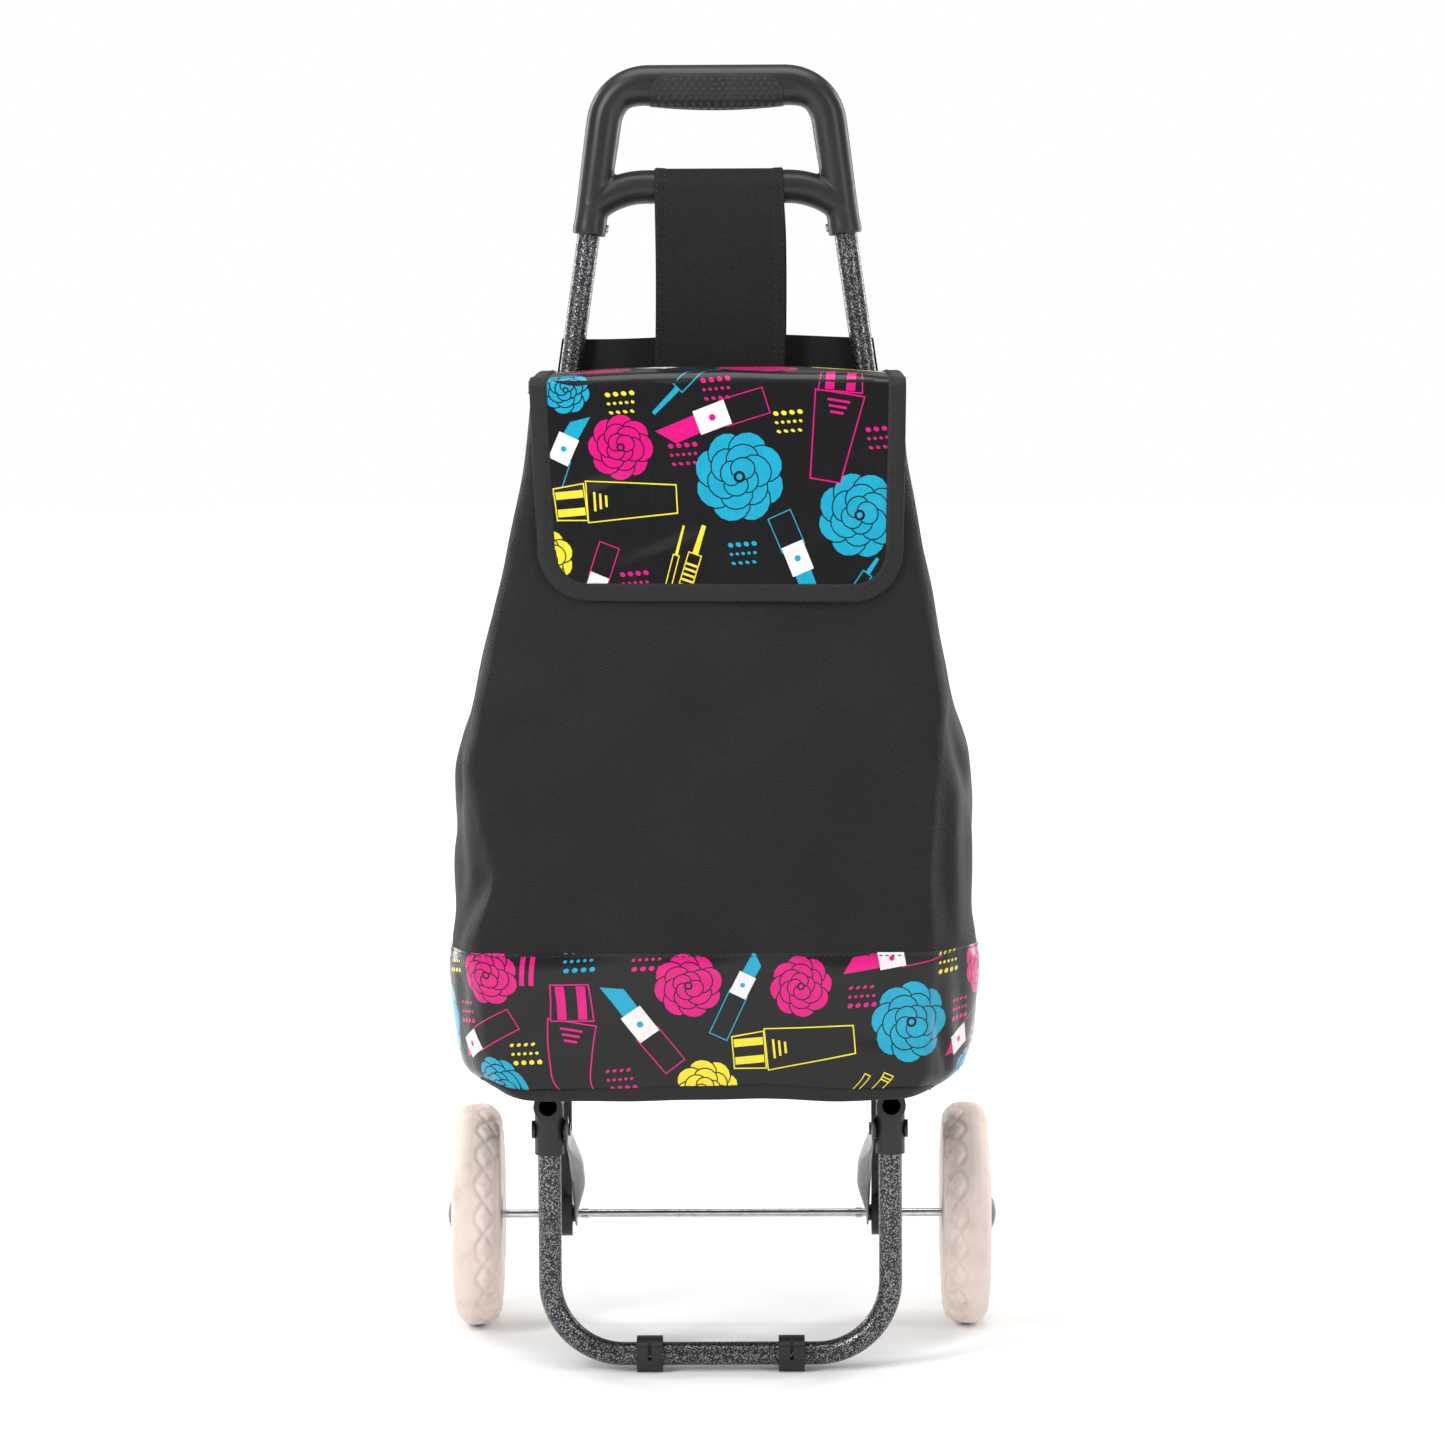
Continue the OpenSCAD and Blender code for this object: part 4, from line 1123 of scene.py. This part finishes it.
UPRIGHT_X, KNEE_Z, SOCKET_Z, SPLAY = 118.0, 596.0, 784.0, math.radians(8.1)
CROSS_Z, STRAP_LOW = 818.0, 664.0
STRAP_HALF, STRAP_R = 46.0, 12.9
FRONT_RUN = CROSS_Z - STRAP_LOW
OVER_RUN = math.pi * STRAP_R


def strap_surface(a, b):
    """b runs up the front leaf, over the cross bar and down behind it."""
    turn = np.clip((b - FRONT_RUN) / STRAP_R, 0, math.pi)
    up = np.minimum(b, FRONT_RUN)
    down = np.maximum(b - FRONT_RUN - OVER_RUN, 0)
    lean = down / (FRONT_RUN - 22)
    y = -STRAP_R * np.cos(turn) - lean * (2 * STRAP_R - 3.4)
    z = STRAP_LOW + up + STRAP_R * np.sin(turn) - down
    slack = np.sin(math.pi * np.clip(b / FRONT_RUN, 0, 1))
    edge = np.abs(a) / STRAP_HALF
    waves = 0.9 * np.sin(z / 26 + a / 50) + 0.6 * np.sin(a / 17 + z / 40)
    y = y - (b < FRONT_RUN + 20) * slack * waves
    hem = 0.55 * ease(edge, 0.83, 0.88) * (1 - 0.6 * ease(edge, 0.97, 1.0))
    y = y - hem * np.cos(turn)
    z = z + hem * np.sin(turn)
    pinch = 1 - 0.012 * hump(b, FRONT_RUN + OVER_RUN / 2, 24)
    x = 1.7 + a * pinch + 0.7 * np.sin(z / 37) * edge + 0.9 * (down > 0) * ease(lean, 0, 0.3)
    return np.stack([x, y, z], -1)


def make_strap():
    """The folded hanging strap and its four rows of stitches."""
    run = 2 * FRONT_RUN + OVER_RUN - 24
    hem = STRAP_HALF - np.array([0, 0.6, 1.8])
    a = np.concatenate([-hem, np.arange(-42.5, 43, 2.5), hem[::-1]])
    b = np.concatenate([np.arange(0, FRONT_RUN - 4, 3),
                        np.arange(FRONT_RUN - 4, FRONT_RUN + 44, 1.6),
                        np.arange(FRONT_RUN + 45, run, 3)])
    aa, bb = np.meshgrid(a, b)
    strap = sew("strap", strap_surface(aa, bb), grid_faces(len(b), len(a)),
                surface_normals(strap_surface, aa, bb), 1.3, np.stack([aa, bb], -1),
                "frame", "oxford_cloth", stands_for=["hanging_strap"])
    rows = []
    for side in (-1, 1):
        for off in (38.5, 44.3):
            line = np.arange(4, run - 4, 2.0)
            path = strap_surface(side * off + 0 * line, line)
            n = np.cross(strap_surface(side * off + 0.5 + 0 * line, line) - path,
                         strap_surface(side * off + 0 * line, line + 0.5) - path)
            rows.append((path, unit(n)))
    thread = stitch("strap_stitches", rows, "frame")


SLEEVE_TOP, SLEEVE_LOW, SLEEVE_R = 712.0, 330.0, 9.3
FLAT_SHARE = 0.82


def tube_x(z):
    """Middle of an upright at height z, from its leaning upper part."""
    return UPRIGHT_X - np.maximum(z - KNEE_Z, 0) * math.tan(SPLAY)


def sleeve_surface(a, z):
    """a from -1 to 1 across the back, wrapping round the uprights at both ends."""
    c, s, t = tube_x(z), np.sign(a), np.abs(a)
    flat = np.clip(t / FLAT_SHARE, 0, 1)
    turn = np.clip((t - FLAT_SHARE) / (1 - FLAT_SHARE), 0, 1) * math.pi * 0.53
    hollow = np.sin(math.pi * flat)
    x = flat * c + SLEEVE_R * np.sin(turn)
    y = SLEEVE_R * np.cos(turn) + (0.9 * np.sin(z / 47 + x * s / 60) - 3.2) * hollow**0.7
    z = z + 1.6 * np.sin(x * s / 33 + 1) * ease(z, 640, SLEEVE_TOP)
    return np.stack([s * x, y, z], -1)


def make_sleeve():
    """The back sleeve that holds the bag to the uprights, with three rows of stitches."""
    wrap = np.linspace(FLAT_SHARE, 1, 18)
    a = np.concatenate([-wrap[::-1], np.linspace(-FLAT_SHARE, FLAT_SHARE, 66)[1:-1], wrap])
    z = np.linspace(SLEEVE_LOW, SLEEVE_TOP, 86)
    aa, zz = np.meshgrid(a, z)
    points = sleeve_surface(aa, zz)
    outward = unit(np.cross(np.gradient(points, axis=0), np.gradient(points, axis=1)))
    sew("sleeve", points, grid_faces(len(z), len(a), flip=True), outward, 1.2,
        np.stack([aa * 150, zz], -1), "frame", "oxford_cloth", stands_for=["back_sleeve"])
    rows = []
    for height in (SLEEVE_TOP - 3, SLEEVE_TOP - 14, SLEEVE_LOW + 9):
        line = np.linspace(-0.98, 0.98, 240)
        path = sleeve_surface(line, height + 0 * line)
        rows.append((path, unit(np.cross((0.0, 0.0, 1.0), np.gradient(path, axis=0)))))
    stitch("sleeve_stitches", rows, "frame", "oxford_cloth")


# ------------------------------------------------------------------ handle

BAR_Z, BEND_R, BELLY = 891.5, 31.5, 3.9


def belly_depth(x):
    """How far the underside of the grip stands below the round bar."""
    return BELLY + 3.0 * np.clip(1 - (x / 50) ** 2, 0, 1)


def handle_path():
    """Middle line of the loop, from the left socket over the top to the right one."""
    start = BAR_Z - BEND_R
    reach, rise = BEND_R * math.cos(SPLAY), BEND_R * math.sin(SPLAY)
    cx = UPRIGHT_X - (start + rise - KNEE_Z) * math.tan(SPLAY) - reach
    foot = np.array([float(tube_x(SOCKET_Z)), 0, SOCKET_Z])
    knee = np.array([cx + reach, 0, start + rise])
    leg = [foot + (knee - foot) * t for t in np.linspace(0, 1, 26)]
    bend = [(cx + BEND_R * math.cos(t), 0, start + BEND_R * math.sin(t))
            for t in np.linspace(SPLAY, math.pi / 2, 16)[1:]]
    top = [(x, 0, BAR_Z) for x in np.linspace(cx, 0, 24)[1:]]
    half = np.array(leg + bend + top)
    return np.concatenate([half * (-1, 1, 1), half[::-1][1:]])


def melted_skin(name, parts, size, rounds, body, slot, stands_for):
    """Melts overlapping closed parts into one smooth moulded skin."""
    points, faces = merge(parts)
    mesh = bpy.data.meshes.new(name)
    mesh.from_pydata(put(points).tolist(), [], faces)
    piece = bpy.data.objects.new(name, mesh)
    scene.collection.objects.link(piece)
    skin = piece.modifiers.new("skin", "REMESH")
    skin.mode, skin.voxel_size = "VOXEL", size * MM
    relax = piece.modifiers.new("relax", "SMOOTH")
    relax.factor, relax.iterations = 0.5, rounds
    graph = bpy.context.evaluated_depsgraph_get()
    done = bpy.data.meshes.new_from_object(piece.evaluated_get(graph))
    piece.modifiers.clear()
    piece.data = done
    done.materials.clear()
    done.materials.append(MATERIALS[slot])
    done.polygons.foreach_set("use_smooth", [True] * len(done.polygons))
    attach(piece, body)
    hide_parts(*stands_for)
    return piece


def make_handle():
    """Loop, swelling grip and cross bar as one moulding."""
    loop = handle_path()
    reach = np.abs(loop[:, 2] - SOCKET_Z)
    radius = 11.6 + 0.9 * ease(reach, 10, 80) + 0.35 * (reach < 9)
    parts = [sweep(loop, radius, 40)]
    swell = loop[loop[:, 2] > BAR_Z - BEND_R + 3]
    inward = np.cross((0.0, 1.0, 0.0), unit(np.gradient(swell, axis=0)))
    run = np.abs(swell[:, 0])
    fade = ease(run, 50, run.max())
    deep = belly_depth(run) - BELLY * fade
    parts.append(sweep(swell + inward * deep[:, None], 12.4 - 0.9 * fade, 40))
    arm = [(50 + 60 * math.sin(t), 0, CROSS_Z - 60 * (1 - math.cos(t)))
           for t in np.linspace(0, math.radians(42), 14)]
    right = np.array([(x, 0, CROSS_Z) for x in np.linspace(0, 50, 16)[:-1]] + arm)
    bar_line = np.concatenate([(right * (-1, 1, 1))[::-1][:-1], right])
    parts.append(sweep(bar_line, 12.0, 40))
    melted_skin("handle", parts, 1.15, 6, "frame", "handle_plastic", ["handle_shell", "cross_bar"])


def make_grip_pad():
    """A thin textured pad with rows of dots, set into the front of the grip."""
    half, r, top_at, low_at = 48.0, 12.5, math.radians(24), math.radians(80)
    x = np.linspace(-half, half, 320)
    t = np.linspace(0, 1, 150)
    xx, tt = np.meshgrid(x, t)
    deep = belly_depth(xx)
    corner = np.clip((np.abs(xx) - (half - 13)) / 13, 0, 1)
    skip = 15 * (1 - np.sqrt(np.clip(1 - corner**2, 0, 1)))
    whole = r * (top_at + low_at) + deep
    girth = skip + (whole - skip) * tt
    past = girth - r * top_at
    angle = np.where(past < 0, -past / r, -np.maximum(past - deep, 0) / r)
    y = -r * np.cos(angle)
    z = BAR_Z + r * np.sin(angle) - np.clip(past, 0, deep)
    edge = np.minimum(half - np.abs(xx), np.minimum(girth - skip, whole - girth + 1.5))
    lift = 0.5 * ease(edge, 0.2, 1.0) - 0.5 * hump(edge, 0.1, 0.5)
    row = np.round(girth / 3.5)
    shift = 2.7 * (row % 2)
    gx = xx + shift - 5.4 * np.round((xx + shift) / 5.4)
    gz = girth - 3.5 * row
    lift = lift + 0.6 * np.exp(-((gx**2 + gz**2) / 0.9)) * ease(edge, 2.6, 3.4)
    out = np.stack([0 * y, -np.cos(angle), np.sin(angle)], -1)
    points = np.stack([xx, y, z], -1) + out * (lift + 0.1)[..., None]
    base = np.stack([xx, y, z], -1) - out * 0.9
    n, wide = len(t) * len(x), len(x)
    faces = [tuple(f) for f in grid_faces(len(t), wide, flip=True)]
    back = [tuple(i + n for i in f[::-1]) for f in faces]
    edge_ring = (list(range(wide)) + [k * wide + wide - 1 for k in range(1, len(t))]
                 + list(range(n - 2, n - wide - 1, -1))
                 + [k * wide for k in range(len(t) - 2, 0, -1)])
    rim = [(a, b, b + n, a + n) for a, b in zip(edge_ring, edge_ring[1:] + edge_ring[:1])]
    # Faces within 0.75 mm of the pad's edge, and the pad's sides, take a near-black material:
    # painted shade in the seam round the pad.
    painted_shade_border = (edge.reshape(-1)[[f[0] for f in faces]] < 0.75).astype(int).tolist()
    build("grip_texture", np.concatenate([points.reshape(-1, 3), base.reshape(-1, 3)]),
          faces + back + rim, "frame", "grip_pad",
          [MATERIALS["grip_pad"], moulded("grip_edge_painted_shade", (0.003, 0.003, 0.003), 0.6)],
          painted_shade_border + [0] * len(back) + [1] * len(rim), stands_for=["grip_pad"])


# ------------------------------------------------------------------ braces

def make_brace(side, name):
    """A round stay whose ends are pressed flat; its outer face stays in one plane."""
    lo, hi = node_box("brace_" + name)
    x = max(abs(lo[0]), abs(hi[0]))
    back, front = np.array([hi[1] - 9, lo[2] + 9]), np.array([lo[1] + 9, hi[2] - 9])
    length = np.linalg.norm(front - back)
    ahead = unit(front - back)
    up = np.array([-ahead[1], ahead[0]]) * np.sign(-ahead[0])
    tip = np.concatenate([-9 * np.cos(np.linspace(0, math.pi / 2, 10)), np.linspace(1, 60, 40)])
    run = np.concatenate([tip, np.linspace(60, length - 60, 24)[1:-1], length - tip[::-1]])
    inside = np.minimum(run, length - run)
    press = 1 - ease(inside, 6, 76)
    half_thick = 5.0 - 4.0 * press
    half_high = np.where(inside < 0, np.sqrt(np.clip(81 - inside**2, 0.01, None)),
                         5.0 + 4.0 * press**0.7)
    turn = np.linspace(0, 2 * math.pi, 37)[:-1]
    power = (1 - 0.45 * press)[:, None]
    across = half_thick[:, None] * np.sign(np.cos(turn)) * np.abs(np.cos(turn)) ** power
    rise = half_high[:, None] * np.sign(np.sin(turn)) * np.abs(np.sin(turn)) ** power
    centre = back + ahead * run[:, None]
    points = np.stack([side * (x - half_thick[:, None] + across),
                       centre[:, :1] + up[0] * rise, centre[:, 1:] + up[1] * rise], -1)
    faces = [tuple(f) for f in grid_faces(len(run), len(turn), wrap=True, flip=side < 0)]
    faces += [cap if side > 0 else cap[::-1] for cap in end_caps(len(run), len(turn))]
    build("stay_" + name, points.reshape(-1, 3), faces, "frame", "brace_paint",
          stands_for=["brace_" + name])


# ------------------------------------------------------------------ wheels

TYRE_R, TYRE_BORE, LUGS = 14.0, 12.9, 21


def make_tyre(side, name):
    """Foam tyre: plain outer half, diamond relief on the inner half, a parting line between."""
    lo, hi = node_box("tyre_" + name)
    centre = (lo + hi) / 2
    half, big = (hi[0] - lo[0]) / 2, (hi[2] - lo[2]) / 2
    r = TYRE_R
    arc = np.linspace(0, math.pi / 2, 15)
    flat = np.linspace(-(half - r), half - r, 5)
    profile = ([(13.2, -half + 0.6), (14, -half)]
               + [(q, -half) for q in np.linspace(20, big - r, 9)]
               + [(big - r + r * math.sin(t), -half + r - r * math.cos(t)) for t in arc[1:]]
               + [(big, c) for c in flat[1:-1]]
               + [(big - r + r * math.cos(t), half - r + r * math.sin(t)) for t in arc]
               + [(q, half) for q in np.linspace(big - r, 25.4, 9)[1:]]
               + [(24.4, half - 0.6), (24.2, half - 2.2)])
    profile = np.array(profile)
    run = np.concatenate([[0], np.cumsum(np.linalg.norm(np.diff(profile, axis=0), axis=1))])
    even = np.linspace(0, run[-1], 110)
    profile = np.stack([np.interp(even, run, profile[:, k]) for k in range(2)], 1)
    slope = np.gradient(profile, axis=0)
    out = unit(np.stack([slope[:, 1], -slope[:, 0]], 1))
    middle = even[np.argmin(np.abs(profile[:, 1]) + (profile[:, 0] < big - 2) * 99)]
    steps = 528
    theta = np.arange(steps) * 2 * math.pi / steps
    th, s = np.meshgrid(theta, even - middle)
    saw = lambda v: 2 * np.abs(v - np.floor(v + 0.5))
    lane = np.clip(-s / 8.6, 0, 3)
    phase = th * LUGS / (2 * math.pi)
    gems = np.minimum(saw(phase + lane / 2), saw(phase - lane / 2))
    inner = ease(-s, 0.4, 1.6) * (1 - ease(-s, 24.5, 26.5))
    lift = inner * (1.7 * ease(gems, 0.04, 0.5) - 1.7)
    lift = lift - 0.15 - 0.3 * hump(s, 1.0, 0.6) - 0.3 * hump(s, 12.5, 0.8)
    lift = lift + 0.1 * np.sin(7 * th + s / 3) * hump(s, 0, 30)
    fade = ease(np.minimum(even - even[0], even[-1] - even), 2, 5)[:, None]
    rho = profile[:, :1] + out[:, :1] * lift * fade
    across = profile[:, 1:] + out[:, 1:] * lift * fade
    points = np.stack([centre[0] + side * across, centre[1] + rho * np.cos(th),
                       centre[2] + rho * np.sin(th)], -1)
    faces = [tuple(f) for f in grid_faces(len(even), steps, wrap=True, flip=side > 0)]
    base = len(even) * steps
    bore = [np.stack([np.full(steps, centre[0] + side * off),
                      centre[1] + TYRE_BORE * np.cos(theta),
                      centre[2] + TYRE_BORE * np.sin(theta)], -1)
            for off in (profile[0, 1] + 2, half - 2.6)]
    points = np.concatenate([points.reshape(-1, 3), *bore])
    rings = [(base, 0), ((len(even) - 1) * steps, base + steps), (base + steps, base)]
    for a, b in rings:
        for c in range(steps):
            d = (c + 1) % steps
            quad = (a + c, a + d, b + d, b + c)
            faces.append(quad[::-1] if side > 0 else quad)
    build("tyre_" + name + "_tread", points, faces, "wheel_" + name, "eva_foam",
          stands_for=["tyre_" + name])


# ------------------------------------------------------------------ assembly

aim_camera()
light_studio()
dress_frame()
make_bag_body()
make_bag_band()
make_bag_bottom()
make_bag_trim()
make_flap()
make_strap()
make_sleeve()
make_handle()
make_grip_pad()
for turn, which in ((-1, "left"), (1, "right")):
    make_tyre(turn, which)
    make_brace(turn, which)
